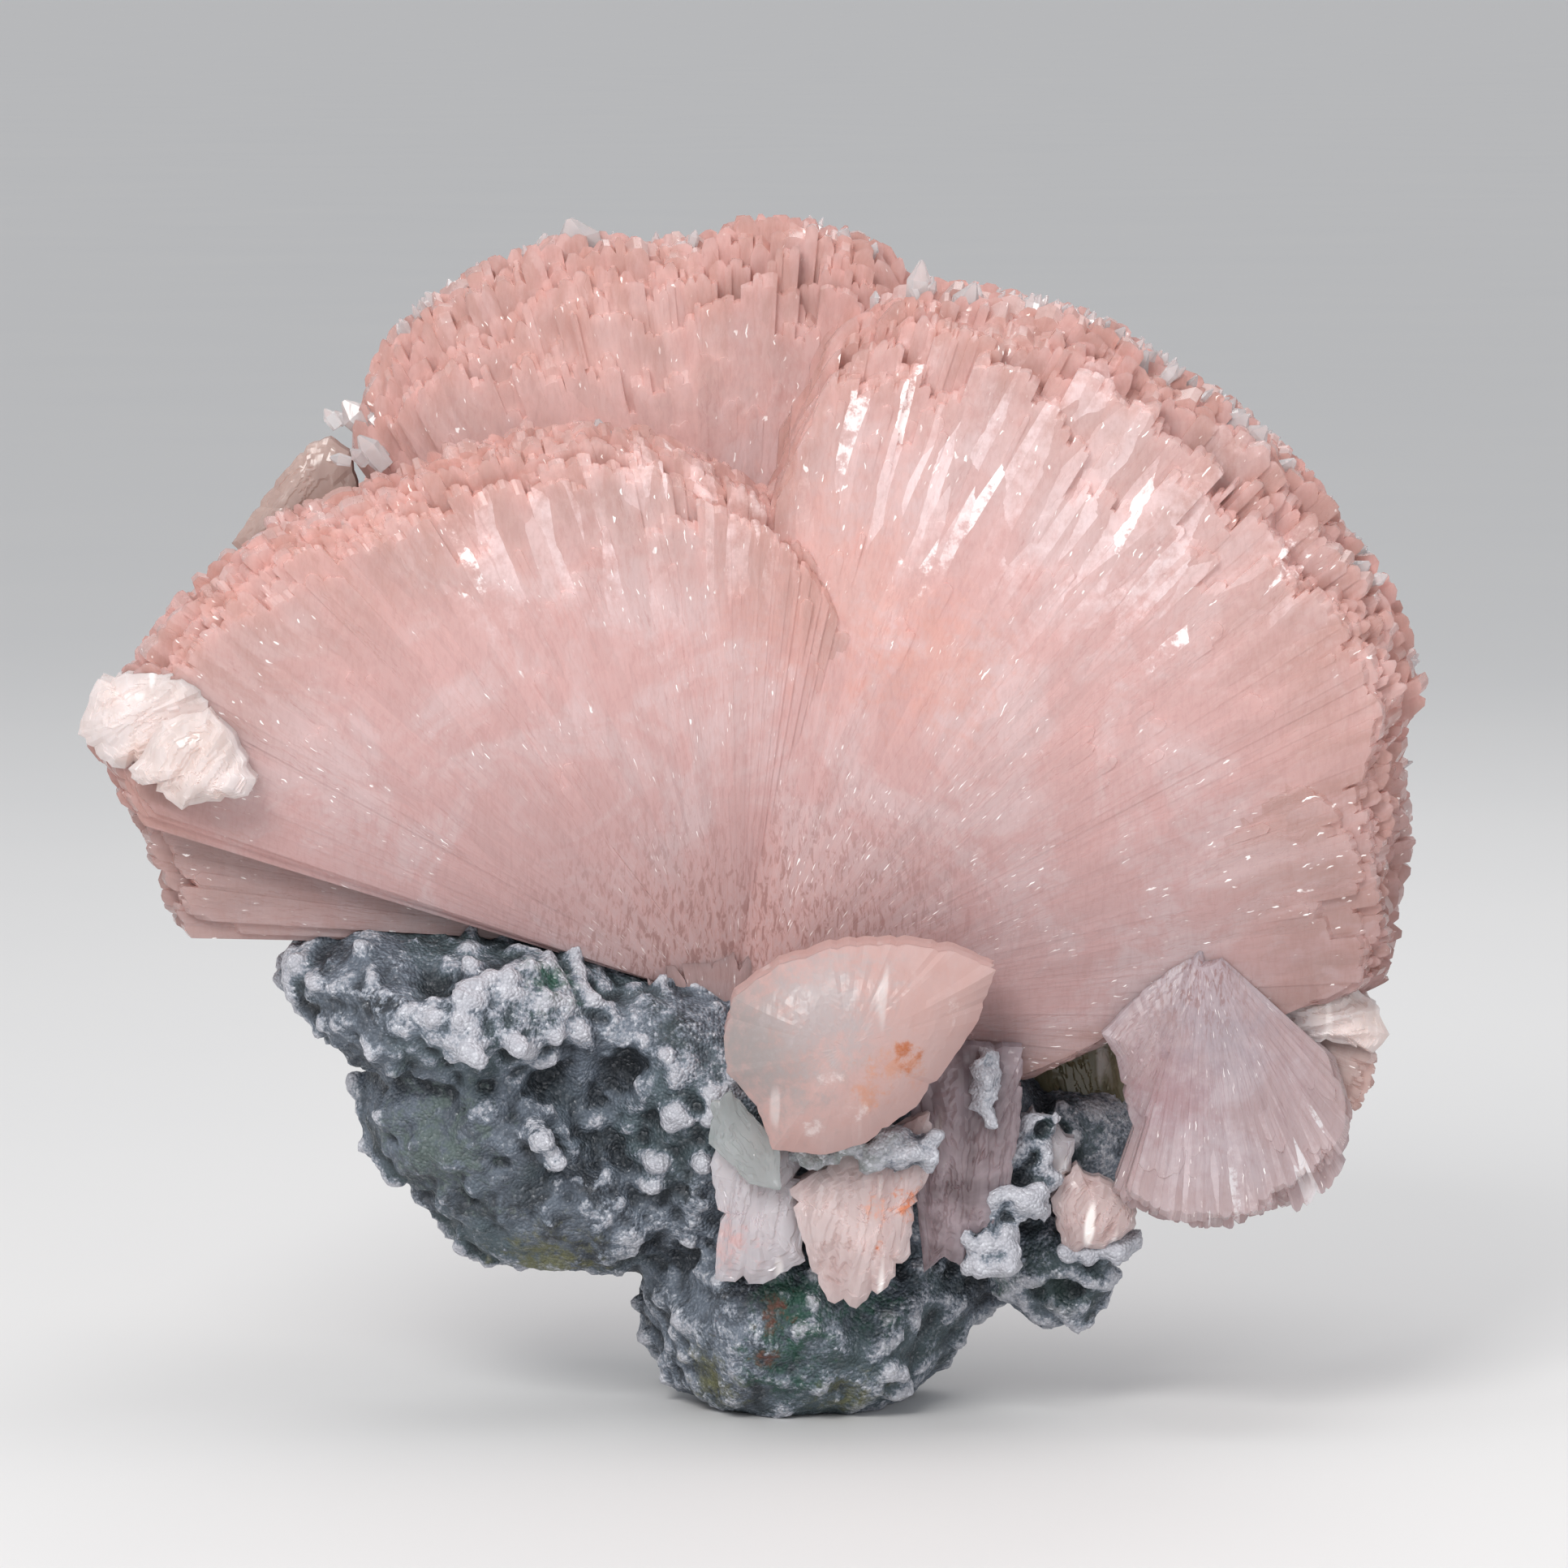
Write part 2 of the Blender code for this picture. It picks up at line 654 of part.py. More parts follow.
def surface_of(thing):
    """A tree of the thing's faces, for finding where a ray meets them."""
    points = [vert.co for vert in thing.data.vertices]
    return BVHTree.FromPolygons(points, [face.vertices for face in thing.data.polygons])


def meet(surface, start, way):
    """Where a ray from outside, in millimetres, first meets the surface, or None."""
    hit = surface.ray_cast(Vector(start) * MM, Vector(way))[0]
    return hit / MM if hit else None


def add_knobs(form, surface):
    """Rounded knobs of chalcedony on the front."""
    for x, z, radius in ROCK_KNOBS:
        hit = meet(surface, (x, -FAR, z), (0, 1, 0))
        if hit:
            add_ball(form, (x, hit.y + 0.15 * radius, z), (radius, radius, radius))


def add_fingers(form, surface):
    """Short stalactites of chalcedony, each a row of balls."""
    beads = 4
    for foot_x, foot_z, tip_x, tip_z, radius, out in ROCK_FINGERS:
        hit = meet(surface, (foot_x, -FAR, foot_z), (0, 1, 0))
        if not hit:
            continue
        tip = Vector((tip_x, hit.y - out, tip_z))
        for bead in range(beads):
            place = (hit + Vector((0, 1, 0))).lerp(tip, bead / (beads - 1))
            add_ball(form, place, (radius, radius, radius), 1)


def add_rear_knobs(form, surface):
    """Low knobs scattered over the sides and the back, which no photograph shows."""
    draw = random.Random("rear knobs")
    placed = 0
    while placed < REAR_KNOBS:
        way = Vector((draw.gauss(0, 0.8), draw.uniform(0.1, 1.0), draw.gauss(0, 0.5))).normalized()
        aim = Vector((draw.uniform(-22, 16), 8, draw.uniform(12, 38)))
        hit = meet(surface, aim + way * FAR, -way)
        if not hit or hit.z < REAR_KNOB_SIZE[1] + 2:
            continue
        size = draw.uniform(*REAR_KNOB_SIZE)
        add_ball(form, hit - way * 0.4 * size, (size * 1.2, size, size))
        placed += 1


def half_space(point, facing):
    """A big block whose one face passes through the point, for cutting all that lies beyond it."""
    form = bmesh.new()
    bmesh.ops.create_cube(form, size=1.0)
    facing = Vector(facing).normalized()
    turn = facing.to_track_quat("Z", "Y")
    for vert in form.verts:
        local = Vector((vert.co.x * 2 * FAR, vert.co.y * 2 * FAR, (vert.co.z + 0.5) * FAR))
        vert.co = (Vector(point) + turn @ local) * MM
    return object_from(form, "break")


def melted(thing, voxel):
    """The thing's overlapping shells run together in one skin of even facets."""
    melt = thing.modifiers.new("melt", "REMESH")
    melt.mode = "VOXEL"
    melt.voxel_size = voxel * MM
    return settled(thing)


def make_rock(name):
    """The rock: broken lumps, with knobs and fingers grown on them, pitted, and flat below."""
    lumps = bmesh.new()
    for centre, radii in ROCK_LUMPS:
        add_ball(lumps, centre, radii, 3)
    body = melted(object_from(lumps, name), ROCK_VOXEL)
    body = combine(body, [half_space(point, way) for point, way in ROCK_BREAKS], "DIFFERENCE")
    surface = surface_of(body)
    form = bmesh.new()
    form.from_mesh(body.data)
    bpy.data.objects.remove(body)
    add_knobs(form, surface)
    add_fingers(form, surface)
    add_rear_knobs(form, surface)
    rock = melted(object_from(form, name), ROCK_VOXEL)
    thin = rock.modifiers.new("thin", "DECIMATE")
    thin.ratio = ROCK_KEEP
    rock = settled(rock)
    cutters = []
    for centre, radii in ROCK_PITS:
        pit = bmesh.new()
        add_ball(pit, centre, radii)
        cutters.append(object_from(pit, "pit"))
    cutters.append(half_space((0, 0, 0), (0, 0, -1)))
    rock = combine(rock, cutters, "DIFFERENCE")
    keep_main_body(rock)
    return rock


def build():
    clear_scene()
    crystals = []

    def add(thing, finish, *beside):
        """Keeps the crystal clear of the ones named, and records it."""
        thing = make_room(thing, [bpy.data.objects[near] for near in beside])
        crystals.append(dress(thing, finish))

    add(make_plate("front_block_crystal", FRONT_BLOCK, FRONT_BLOCK_Y, 0.8), "pale_pink")
    add(make_bowtie("bowtie_crystal"), "pale_pink")
    add(make_plate("cream_cap_crystal", CREAM_CAP, CREAM_CAP_Y), "cream", "bowtie_crystal")
    add(make_fans("small_pink_fan", (SMALL_PINK_FAN,)), "pale_pink", "bowtie_crystal",
        "cream_cap_crystal")
    add(make_left_cluster("left_cream_crystals"), "cream")
    add(make_plate("upper_left_clear_blade", CLEAR_BLADE, CLEAR_BLADE_Y), "clear")
    add(make_plate("splintered_crystal", SPLINTER, SPLINTER_Y), "pale_pink", "front_block_crystal")
    add(make_plate("white_plate_crystal", WHITE_PLATE, WHITE_PLATE_Y), "clear",
        "front_block_crystal", "splintered_crystal")
    add(make_plate("thin_clear_blade", THIN_BLADE, THIN_BLADE_Y), "clear", "front_block_crystal",
        "white_plate_crystal")
    add(make_plate("violet_blade", VIOLET_BLADE, VIOLET_BLADE_Y), "violet", "front_block_crystal",
        "splintered_crystal")
    add(make_plate("pale_plate_crystal", PALE_PLATE, PALE_PLATE_Y), "pale_pink", "bowtie_crystal")
    add(make_plate("lilac_plate_crystal", LILAC_PLATE, LILAC_PLATE_Y), "violet", "violet_blade",
        "pale_plate_crystal")
    add(make_plate("olive_blade", OLIVE_BLADE, OLIVE_BLADE_Y), "violet", "bowtie_crystal")
    add(make_plate("root_chip", ROOT_CHIP, ROOT_CHIP_Y), "pink")
    for sizes in RIM_CRYSTALS:
        add(make_rim_crystal(*sizes), "clear")

    rock = dress(make_room(make_rock(ROCK), crystals), "rock")
    sheaf = make_fans("main_sheaf", SHEAF_FANS)
    dress(make_room(sheaf, [rock, *crystals]), "pink")


build()
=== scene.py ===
"""The looks of the heulandite cluster: a translucent pink sheaf of blades on frosted basalt.

Tables are in millimetres and degrees, as in the part's source, and MM turns them into metres.
A blade's angle is counted from straight up, positive to the right. Its lean is positive away
from the viewer.
"""

import math
import random
from dataclasses import dataclass
from functools import lru_cache

import bmesh
import bpy
import numpy as np
from mathutils import Matrix, Vector, noise
from mathutils.bvhtree import BVHTree


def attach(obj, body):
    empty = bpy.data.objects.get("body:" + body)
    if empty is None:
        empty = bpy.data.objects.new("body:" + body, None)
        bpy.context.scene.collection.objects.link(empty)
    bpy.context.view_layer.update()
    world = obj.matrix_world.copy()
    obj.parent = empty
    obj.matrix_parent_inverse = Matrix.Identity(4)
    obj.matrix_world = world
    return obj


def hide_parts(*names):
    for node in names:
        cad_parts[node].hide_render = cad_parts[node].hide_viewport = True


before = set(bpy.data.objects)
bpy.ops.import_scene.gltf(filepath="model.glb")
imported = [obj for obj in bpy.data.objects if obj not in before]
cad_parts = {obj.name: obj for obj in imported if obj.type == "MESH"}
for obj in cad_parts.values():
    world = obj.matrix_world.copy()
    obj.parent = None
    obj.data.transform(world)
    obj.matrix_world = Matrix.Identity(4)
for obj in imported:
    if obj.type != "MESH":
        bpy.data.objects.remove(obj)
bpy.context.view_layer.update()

MM = 0.001
FAR = 120  # well outside the specimen
BODY = "root"

# The camera: the photograph's view, taken from a little above
CAMERA_AIM = (0.44, 0.0, 56.2)
CAMERA_RISE = 6.0
FRAME_WIDTH = 141.0  # how much the picture takes in at the specimen
LENS = 180.0
SENSOR = 36.0

# Lights: name, place, power, size in metres, colour
LIGHT_AIM = (0, 0, 55)
LIGHTS = (
    ("key", (-190, -520, 430), 2.5, (0.24, 0.24), (1.0, 0.985, 0.96)),
    ("overhead", (60, -60, 640), 0.7, (0.4, 0.3), (1.0, 0.99, 0.98)),
    ("front_fill", (420, -560, 140), 0.5, (0.5, 0.5), (0.96, 0.98, 1.0)),
    ("back_glow", (120, 420, 420), 0.45, (0.4, 0.3), (1.0, 0.98, 0.96)),
)
SKY_COLOUR = (0.84, 0.85, 0.87)
SKY_STRENGTH = 0.68
FLOOR_REACH = 60.0  # in metres, from the middle of the floor to its edge

# Blades
CORE_REACH = 0.7  # how far a fan's solid heart reaches, as a share of its blades
OVERLAP = 1.3  # thickness of a layer of blades, as a share of its distance to the next
SIDE_OVERLAP = 1.16  # width of a blade, as a share of its distance to the next
FACE_LAYER = 0.8  # thickness of the layers on a fan's faces, at the crest
HEART_LAYER = 2.0  # and of those inside
LAYER_GROWTH = 1.3  # how much thicker each layer is than the one outside it
BLADE_WIDTH = 0.95
BUNDLE_WIDTH = 4.2  # of blades that grew as one
ROUNDING = 0.34  # share of a fan's thickness over which its crest rounds off
LONGEST = 1.01  # how far a blade may stand out, as a share of its fan's reach there
FLAKE_ROOT = 0.44  # half the thickness of a flake at its root, which is sunk in its fan

# Single crystals
RIM_STEP = 0.6  # how far apart the corners of a slab's rim are
SLAB_RINGS = 30  # rings of corners from its rim to its middle
CHIP_CHANCE = 0.06  # that a corner of its rim is chipped off
SMALL_RIM_CRYSTALS = 150

# The rock
LUMP_VOXEL, PIT_VOXEL, BODY_VOXEL, ROCK_VOXEL = 1.0, 0.8, 0.9, 0.48
BARE_FOOT = 2  # height below which no knobs grow
KNOB_CLUSTERS = 130  # all over the rock, apart from the patches on its front
CRAG_TOP = 19  # height up to which the bare rock is craggy
SMOOTHING_ROUNDS = 24  # which its relief is measured against


@dataclass(frozen=True)
class Fan:
    """One fan of blades. reach holds (angle, length) pairs, and each other pair is front and back."""

    name: str
    root: tuple
    depth: tuple
    lean: tuple
    drop: tuple
    start: float
    reach: tuple
    crown: float = 0.0
    crown_over: tuple = ()  # first and last angle of the crown, where not the fan's own
    broken: tuple = (0.3, -180, 180)  # chance of a step in a bundle, between two angles
    flakes: int = 0
    flaky: tuple = ()  # angles, and shares of the blades' length, between which most flakes lie
    tuck: tuple = (180, 181, 0.0)  # sinks back between two angles, and by how much
    width: float = BLADE_WIDTH


SHEAF_ROOT = (-3.6, 36.9)
LOW_LEFT_ROOT = (-7.3, 42.0)

SHEAF_FANS = (
    Fan(
        name="front_left",
        root=SHEAF_ROOT,
        depth=(-9.3, -1.0),
        lean=(-11.3, -2.0),
        drop=(0.055, 0.05),
        start=2.0,
        reach=((-71, 57.6), (-67, 62.4), (-62, 62.8), (-56, 62.2), (-50, 61.4), (-43, 60.1),
               (-36, 57.8), (-25, 56.0), (-15, 54.5), (-8, 52), (0, 48), (7, 44.5), (14, 39),
               (22, 33)),
        crown=1.3,
        tuck=(0, 20, 2.0),
        broken=(0.5, -34, 22),
        flakes=110,
        flaky=(-34, 6, 0.7, 0.96),
    ),
    Fan(
        name="low_left",
        root=LOW_LEFT_ROOT,
        depth=(-6.5, 3.4),
        lean=(-7.5, 3.5),
        drop=(0.04, 0.04),
        start=12.0,
        reach=((-87.5, 46.5), (-82, 48.5), (-76, 52.5), (-70, 54.5), (-62, 54)),
        flakes=20,
    ),
    Fan(
        name="back_crest",
        root=SHEAF_ROOT,
        depth=(-1.4, 7.5),
        lean=(-1.8, 9.0),
        drop=(0.085, 0.05),
        start=8.0,
        reach=((-35, 61.5), (-32, 64), (-28, 67), (-23, 69.2), (-18, 69.8), (-12, 69.8),
               (-8, 68.5), (-4, 68.5), (0, 69.5), (5, 70), (9, 69), (14, 67)),
        broken=(0.6, -40, 20),
        flakes=110,
        flaky=(-20, 12, 0.72, 0.96),
    ),
    Fan(
        name="right",
        root=SHEAF_ROOT,
        depth=(-10.8, 6.0),
        lean=(-7.3, 12.0),
        drop=(0.07, 0.05),
        start=2.0,
        reach=((3, 45), (8, 62), (13, 66), (20, 67.5), (28, 69), (36, 69), (44, 69.6),
               (51, 68.8), (57, 68.8), (64, 67.4), (68, 64.2), (74, 62.2), (80, 60), (85, 58.6),
               (88, 57), (90, 47), (92, 37), (97, 32), (105, 25)),
        crown=1.7,
        broken=(0.7, 3, 52),
        flakes=190,
        flaky=(8, 56, 0.62, 0.95),
    ),
    Fan(
        name="right_lobe",
        root=SHEAF_ROOT,
        depth=(-7.6, -3.0),
        lean=(-11.6, -6.0),
        drop=(0.03, 0.0),
        start=24.0,
        reach=((55, 38), (61, 50), (65, 55), (70, 58.4), (76, 59), (82, 58.6), (86.5, 57.4),
               (88.5, 52), (90.5, 42)),
        crown=1.6,
        crown_over=(60, 104),
        broken=(0.1, 50, 100),
        flakes=12,
    ),
    Fan(
        name="rear_left",
        root=SHEAF_ROOT,
        depth=(6.0, 11.7),
        lean=(8.0, 19.4),
        drop=(0.04, 0.1),
        start=10.0,
        reach=((-71, 50), (-58, 55), (-44, 57), (-30, 60), (-16, 62), (-4, 60), (5, 58)),
        crown=-3.0,
        broken=(0.5, -80, 20),
        flakes=60,
    ),
    Fan(
        name="rear_right",
        root=SHEAF_ROOT,
        depth=(7.0, 12.2),
        lean=(10.0, 22.4),
        drop=(0.04, 0.1),
        start=10.0,
        reach=((-12, 50), (-6, 56), (0, 58), (12, 61), (24, 62), (36, 61.5), (48, 60.5), (60, 59),
               (74, 55), (86, 48)),
        crown=-2.0,
        broken=(0.5, -10, 90),
        flakes=70,
    ),
)

BOWTIE_ROOT = (37.2, 44.2)
BOWTIE_FAN = Fan(
    name="bowtie",
    root=BOWTIE_ROOT,
    depth=(-17.2, -13.5),
    lean=(-9.0, 4.0),
    drop=(0.045, 0.03),
    start=2.4,
    reach=((133, 16), (138, 20), (145, 22.8), (152, 24.4), (160, 25.2), (168, 25.6),
           (176, 25.8), (184, 25.6), (192, 25.2), (198, 24.0)),
    crown=1.0,
    broken=(0.35, 130, 200),
    flakes=40,
    flaky=(138, 190, 0.75, 0.95),
    width=1.1,
)
SMALL_PINK_ROOT = (40.0, 37.2)
SMALL_PINK_FAN = Fan(
    name="small_pink",
    root=SMALL_PINK_ROOT,
    depth=(-11.2, -6.8),
    lean=(-8.5, 8.5),
    drop=(0.04, 0.04),
    start=1.0,
    reach=((98, 12.4), (106, 14), (116, 14.6), (126, 14.8), (136, 14.2), (146, 12.2)),
    width=0.8,
)

# The tuft of blades at the foot of the sheaf
ROOT_TUFT = Fan(
    name="root_tuft",
    root=(-4.6, 26.0),
    depth=(-12.8, -7.0),
    lean=(9.5, 9.5),
    drop=(0.05, 0.0),
    start=2.0,
    reach=((-40, 12), (-35, 15), (-31, 12.5), (-27, 17), (-23, 14), (-19, 19), (-15, 15.5),
           (-10, 20.5), (-5, 16.5), (-1, 21.5), (4, 17.5), (9, 21), (14, 17.5), (20, 20), (30, 15)),
    broken=(1.0, -40, 40),
    flakes=40,
    width=0.45,
)

# Each lump of the rock: centre, then half-sizes
ROCK_LUMPS = (
    ((-28, -2, 37), (15, 18, 7)),
    ((-34.5, -2, 40), (10.5, 14, 5.5)),
    ((-25.5, 2, 27), (12.5, 18, 9.5)),
    ((-18.5, 2, 19.5), (14, 16, 8)),
    ((-2, 4, 26), (18, 20, 14)),
    ((-11, -5, 33.5), (11, 12, 7)),
    ((0.5, 3, 9), (13, 18.5, 12)),
    ((14, 3, 24), (11, 16, 12)),
    ((11, 3, 11), (8, 12, 8)),
    ((6, 3, 8), (11, 16, 10.5)),
    ((24.5, -4, 13), (6, 7, 5.2)),
    ((23, 9, 30), (9, 10, 10)),
    ((-2, 13, 34), (28, 15, 17)),
    ((27, 1, 24), (6.2, 7, 6.4)),
)

# Patches of knobs on the rock's front: middle x and z, half-sizes, smallest and largest radius,
# how many, and how tall they grow for their width
KNOB_PATCHES = (
    ((-27.0, 36.6), (16.5, 7.5), (0.4, 1.0), 420, 1.2),
    ((-22.5, 38.0), (9.0, 4.5), (0.6, 1.25), 90, 1.8),
    ((-37.0, 36.0), (6.0, 6.0), (0.5, 1.2), 60, 1.5),
    ((-11.3, 21.5), (6.6, 10.0), (0.35, 0.75), 330, 1.2),
    ((-18.5, 24.0), (6.0, 6.0), (0.45, 1.0), 90, 1.6),
    ((-5.5, 30.0), (5.5, 4.5), (0.5, 1.3), 80, 0.9),
    ((7.5, 25.0), (7.0, 3.0), (0.4, 1.1), 80, 0.9),
    ((21.5, 21.0), (5.5, 6.5), (0.45, 1.1), 110, 1.9),
    ((24.5, 13.0), (6.5, 6.0), (0.4, 1.0), 190, 1.1),
    ((17.0, 32.6), (1.8, 3.4), (0.45, 1.0), 40, 1.6),
    ((-28.0, 24.0), (9.0, 8.0), (0.6, 1.8), 70, 0.6),
    ((4.0, 8.0), (18.0, 8.0), (0.4, 1.2), 110, 0.7),
)

# Fingers of chalcedony: foot x, z, tip x, z, radius, how far the tip stands out
ROCK_FINGERS = (
    (-30.4, 37.4, -26.3, 34.2, 1.15, 2.6),
    (-33.6, 39.6, -32.0, 37.6, 1.0, 2.2),
    (-24.4, 36.4, -22.6, 35.0, 1.0, 2.4),
    (-14.2, 28.6, -11.0, 30.0, 1.0, 2.8),
    (-13.4, 25.4, -10.6, 23.8, 1.1, 3.2),
    (-13.8, 23.0, -11.0, 21.6, 0.95, 2.4),
    (-7.4, 24.6, -6.6, 24.0, 0.95, 2.6),
    (-22.6, 27.8, -20.6, 26.4, 1.2, 3.4),
    (-22.0, 25.6, -19.4, 24.6, 1.0, 3.0),
    (15.3, 23.2, 18.8, 21.4, 1.1, 3.0),
    (16.2, 21.6, 19.4, 19.6, 1.0, 2.6),
    (22.2, 23.0, 20.6, 20.6, 1.2, 2.4),
    (17.0, 18.6, 19.2, 17.6, 1.0, 2.4),
)

# Druse on and between the crystals: centre, half-sizes, smallest and largest radius, how many
DRUSE_PATCHES = (
    ((18.2, -17.3, 31.2), (0.9, 1.2, 3.2), (0.35, 0.7), 40),
    ((7.6, -19.4, 26.0), (6.2, 2.2, 1.5), (0.4, 0.9), 110),
    ((-6.6, -14.6, 30.6), (3.0, 2.4, 3.2), (0.7, 1.4), 50),
    ((22.4, -12.2, 24.6), (2.2, 1.4, 3.4), (0.35, 0.75), 46),
    ((20.6, -14.5, 20.6), (3.4, 2.4, 1.5), (0.4, 0.9), 80),
    ((18.6, -15.6, 16.4), (2.4, 1.6, 1.8), (0.4, 0.95), 60),
    ((28.4, -10.0, 15.6), (3.4, 2.0, 1.0), (0.4, 0.8), 50),
    ((46.0, -17.4, 30.0), (2.4, 0.9, 1.6), (0.35, 0.6), 30),
)

# Pits in the rock: centre, then half-sizes
ROCK_PITS = (
    ((-17.0, -17.5, 31.2), (5.2, 7.0, 2.9)),
    ((25.3, -11.4, 11.0), (3.6, 4.4, 2.1)),
    ((-31.6, -19.0, 41.0), (4.4, 4.0, 2.2)),
)

# Where the rock broke: a point of each flat break and the way it faces
ROCK_BREAKS = (
    ((-6, 24.5, 30), (0.12, 1.0, 0.10)),
    ((20, 18, 34), (0.75, 1.0, 0.35)),
    ((-26, 17, 34), (-0.65, 1.0, -0.05)),
    ((-14, 17, 12), (-0.45, 0.9, -0.7)),
    ((12, 15, 12), (0.6, 0.9, -0.55)),
)


@dataclass(frozen=True)
class Slab:
    """A single crystal that broke along its grain.

    outline is what the front shows of it (x, z), depth the y of its back and front, grain the
    angle of its steps from upright, step how high they are, bulge how much thinner it is at its
    rim, rough how uneven its rim is, layers how many sheets the rim shows, and wing a second
    crystal that is grown into it. All but the wings replace a node, and have a finish.
    """

    name: str
    outline: tuple
    depth: tuple
    grain: float
    step: float = 0.5
    bulge: float = 0.35
    rough: float = 0.1
    layers: int = 7
    wing: "Slab | None" = None
    node: str = ""
    slot: str = ""
    finish: str = ""


BOWTIE_WING = Slab(
    name="wing",
    depth=(-12.0, -17.6), grain=20, step=0.4, bulge=0.5,
    outline=((37.4, 43.4), (34.6, 41.6), (32.1, 39.6), (28.4, 35.8), (29.6, 33.8), (30.8, 28.6),
             (32.2, 24.6), (35.8, 24.2), (39.0, 34.4)),
)

LEFT_WING = Slab(
    name="left_wing",
    depth=(-17.0, -24.6), grain=35, step=0.8, bulge=0.5, rough=0.25,
    outline=((-57.0, 59.4), (-53.8, 64.2), (-49.6, 65.2), (-47.2, 62.8), (-45.5, 59.0),
             (-46.0, 57.4), (-48.6, 57.0), (-52.0, 56.2), (-54.4, 57.8)),
)

THICK_SLABS = (
    Slab(
        name="front_block", node="front_block_crystal", slot="pale_pink_crystal",
        finish="block_pink",
        depth=(-15.5, -28.5), grain=25, step=0.1, bulge=0.5, rough=0.08,
        outline=((-4.9, 36.8), (-4.0, 40.2), (-0.6, 42.9), (5.0, 44.7), (11.0, 44.9),
                 (15.4, 44.2), (18.9, 42.6), (17.4, 38.2), (14.8, 34.2), (12.0, 30.6),
                 (7.6, 27.4), (4.0, 26.3), (-0.6, 26.8), (-2.0, 30.6), (-4.6, 33.6)),
    ),
    Slab(
        name="left_cream_block", node="left_cream_crystals", slot="cream_crystal",
        finish="cream_fibre",
        depth=(-12.0, -22.0), grain=60, step=0.7, bulge=0.4, rough=0.2,
        outline=((-61.4, 62.6), (-60.5, 65.6), (-59.5, 67.6), (-56.5, 68.2), (-51.6, 68.0),
                 (-49.6, 66.2), (-50.2, 62.0), (-54.0, 59.6), (-58.4, 59.6)),
        wing=LEFT_WING,
    ),
    Slab(
        name="cream_cap", node="cream_cap_crystal", slot="cream_crystal",
        finish="cream_fibre",
        depth=(-7.5, -16.0), grain=80, step=0.8, bulge=0.4, rough=0.2,
        outline=((41.0, 38.8), (43.8, 39.7), (50.6, 40.1), (53.2, 37.8), (54.0, 35.4),
                 (52.8, 33.6), (50.2, 34.4), (43.8, 35.2)),
    ),
)

THIN_SLABS = (
    Slab(
        name="upper_left_blade", node="upper_left_clear_blade", slot="clear_crystal",
        finish="milky_blade",
        depth=(3.0, -2.5), grain=40, step=0.4,
        outline=((-49.0, 78.0), (-45.4, 83.2), (-42.2, 86.8), (-40.2, 87.5), (-38.4, 86.2),
                 (-37.0, 80.0), (-39.0, 74.0), (-46.0, 74.0)),
    ),
    Slab(
        name="white_plate", node="white_plate_crystal", slot="clear_crystal",
        finish="white_plate",
        depth=(-14.0, -18.2), grain=8, step=0.75, bulge=0.4, rough=0.22,
        outline=((-6.2, 24.4), (-4.4, 28.6), (2.0, 26.0), (2.0, 20.0), (2.4, 15.6), (-1.4, 13.4),
                 (-5.8, 13.8), (-5.4, 19.0)),
    ),
    Slab(
        name="thin_blade", node="thin_clear_blade", slot="clear_crystal",
        finish="thin_clear",
        depth=(-18.6, -20.8), grain=-30, step=0.3,
        outline=((-6.0, 30.4), (-4.2, 31.2), (0.1, 26.4), (0.2, 22.4), (-2.6, 23.0), (-6.2, 26.6)),
    ),
    Slab(
        name="splinters", node="splintered_crystal", slot="pale_pink_crystal",
        finish="splinter_pink",
        depth=(-14.5, -20.4), grain=14, step=0.9, rough=0.2, layers=12,
        outline=((0.8, 22.4), (5.4, 25.4), (13.4, 29.4), (13.8, 25.4), (12.0, 20.2),
                 (11.6, 16.6), (9.6, 13.6), (6.8, 11.6), (4.2, 12.2), (2.4, 16.2)),
    ),
    Slab(
        name="violet_slab", node="violet_blade", slot="violet_crystal",
        finish="violet_grey",
        depth=(-11.6, -17.4), grain=5, step=0.8, bulge=0.4,
        outline=((11.4, 35.0), (21.6, 34.6), (21.4, 28.0), (20.2, 20.0), (18.4, 16.8),
                 (17.0, 17.6), (16.2, 14.8), (14.6, 15.8), (12.8, 14.4), (11.8, 24.0)),
    ),
    Slab(
        name="lilac_slab", node="lilac_plate_crystal", slot="violet_crystal",
        finish="white_plate",
        depth=(-7.0, -12.0), grain=30, step=0.8, bulge=0.4, rough=0.22,
        outline=((19.8, 26.2), (22.6, 28.4), (26.4, 25.6), (26.0, 21.4), (22.4, 19.6),
                 (20.0, 22.2)),
    ),
    Slab(
        name="pale_slab", node="pale_plate_crystal", slot="pale_pink_crystal",
        finish="splinter_pink",
        depth=(-8.6, -13.4), grain=25, step=0.9, bulge=0.4, rough=0.22,
        outline=((24.0, 20.4), (26.4, 23.8), (29.6, 22.0), (32.2, 19.8), (31.8, 17.6),
                 (29.0, 15.8), (25.2, 15.4)),
    ),
    Slab(
        name="olive_slab", node="olive_blade", slot="violet_crystal",
        finish="olive_blade",
        depth=(1.0, -3.0), grain=-20,
        outline=((22.0, 34.0), (31.0, 35.0), (31.4, 28.0), (27.8, 24.6), (23.4, 27.4)),
    ),
    Slab(
        name="pink_chip", node="root_chip", slot="pink_sheaf",
        finish="pink_chip",
        depth=(12.0, 7.0), grain=10,
        outline=((15.2, 9.0), (18.8, 9.4), (18.6, 7.2), (17.4, 6.2), (15.6, 7.2)),
    ),
)

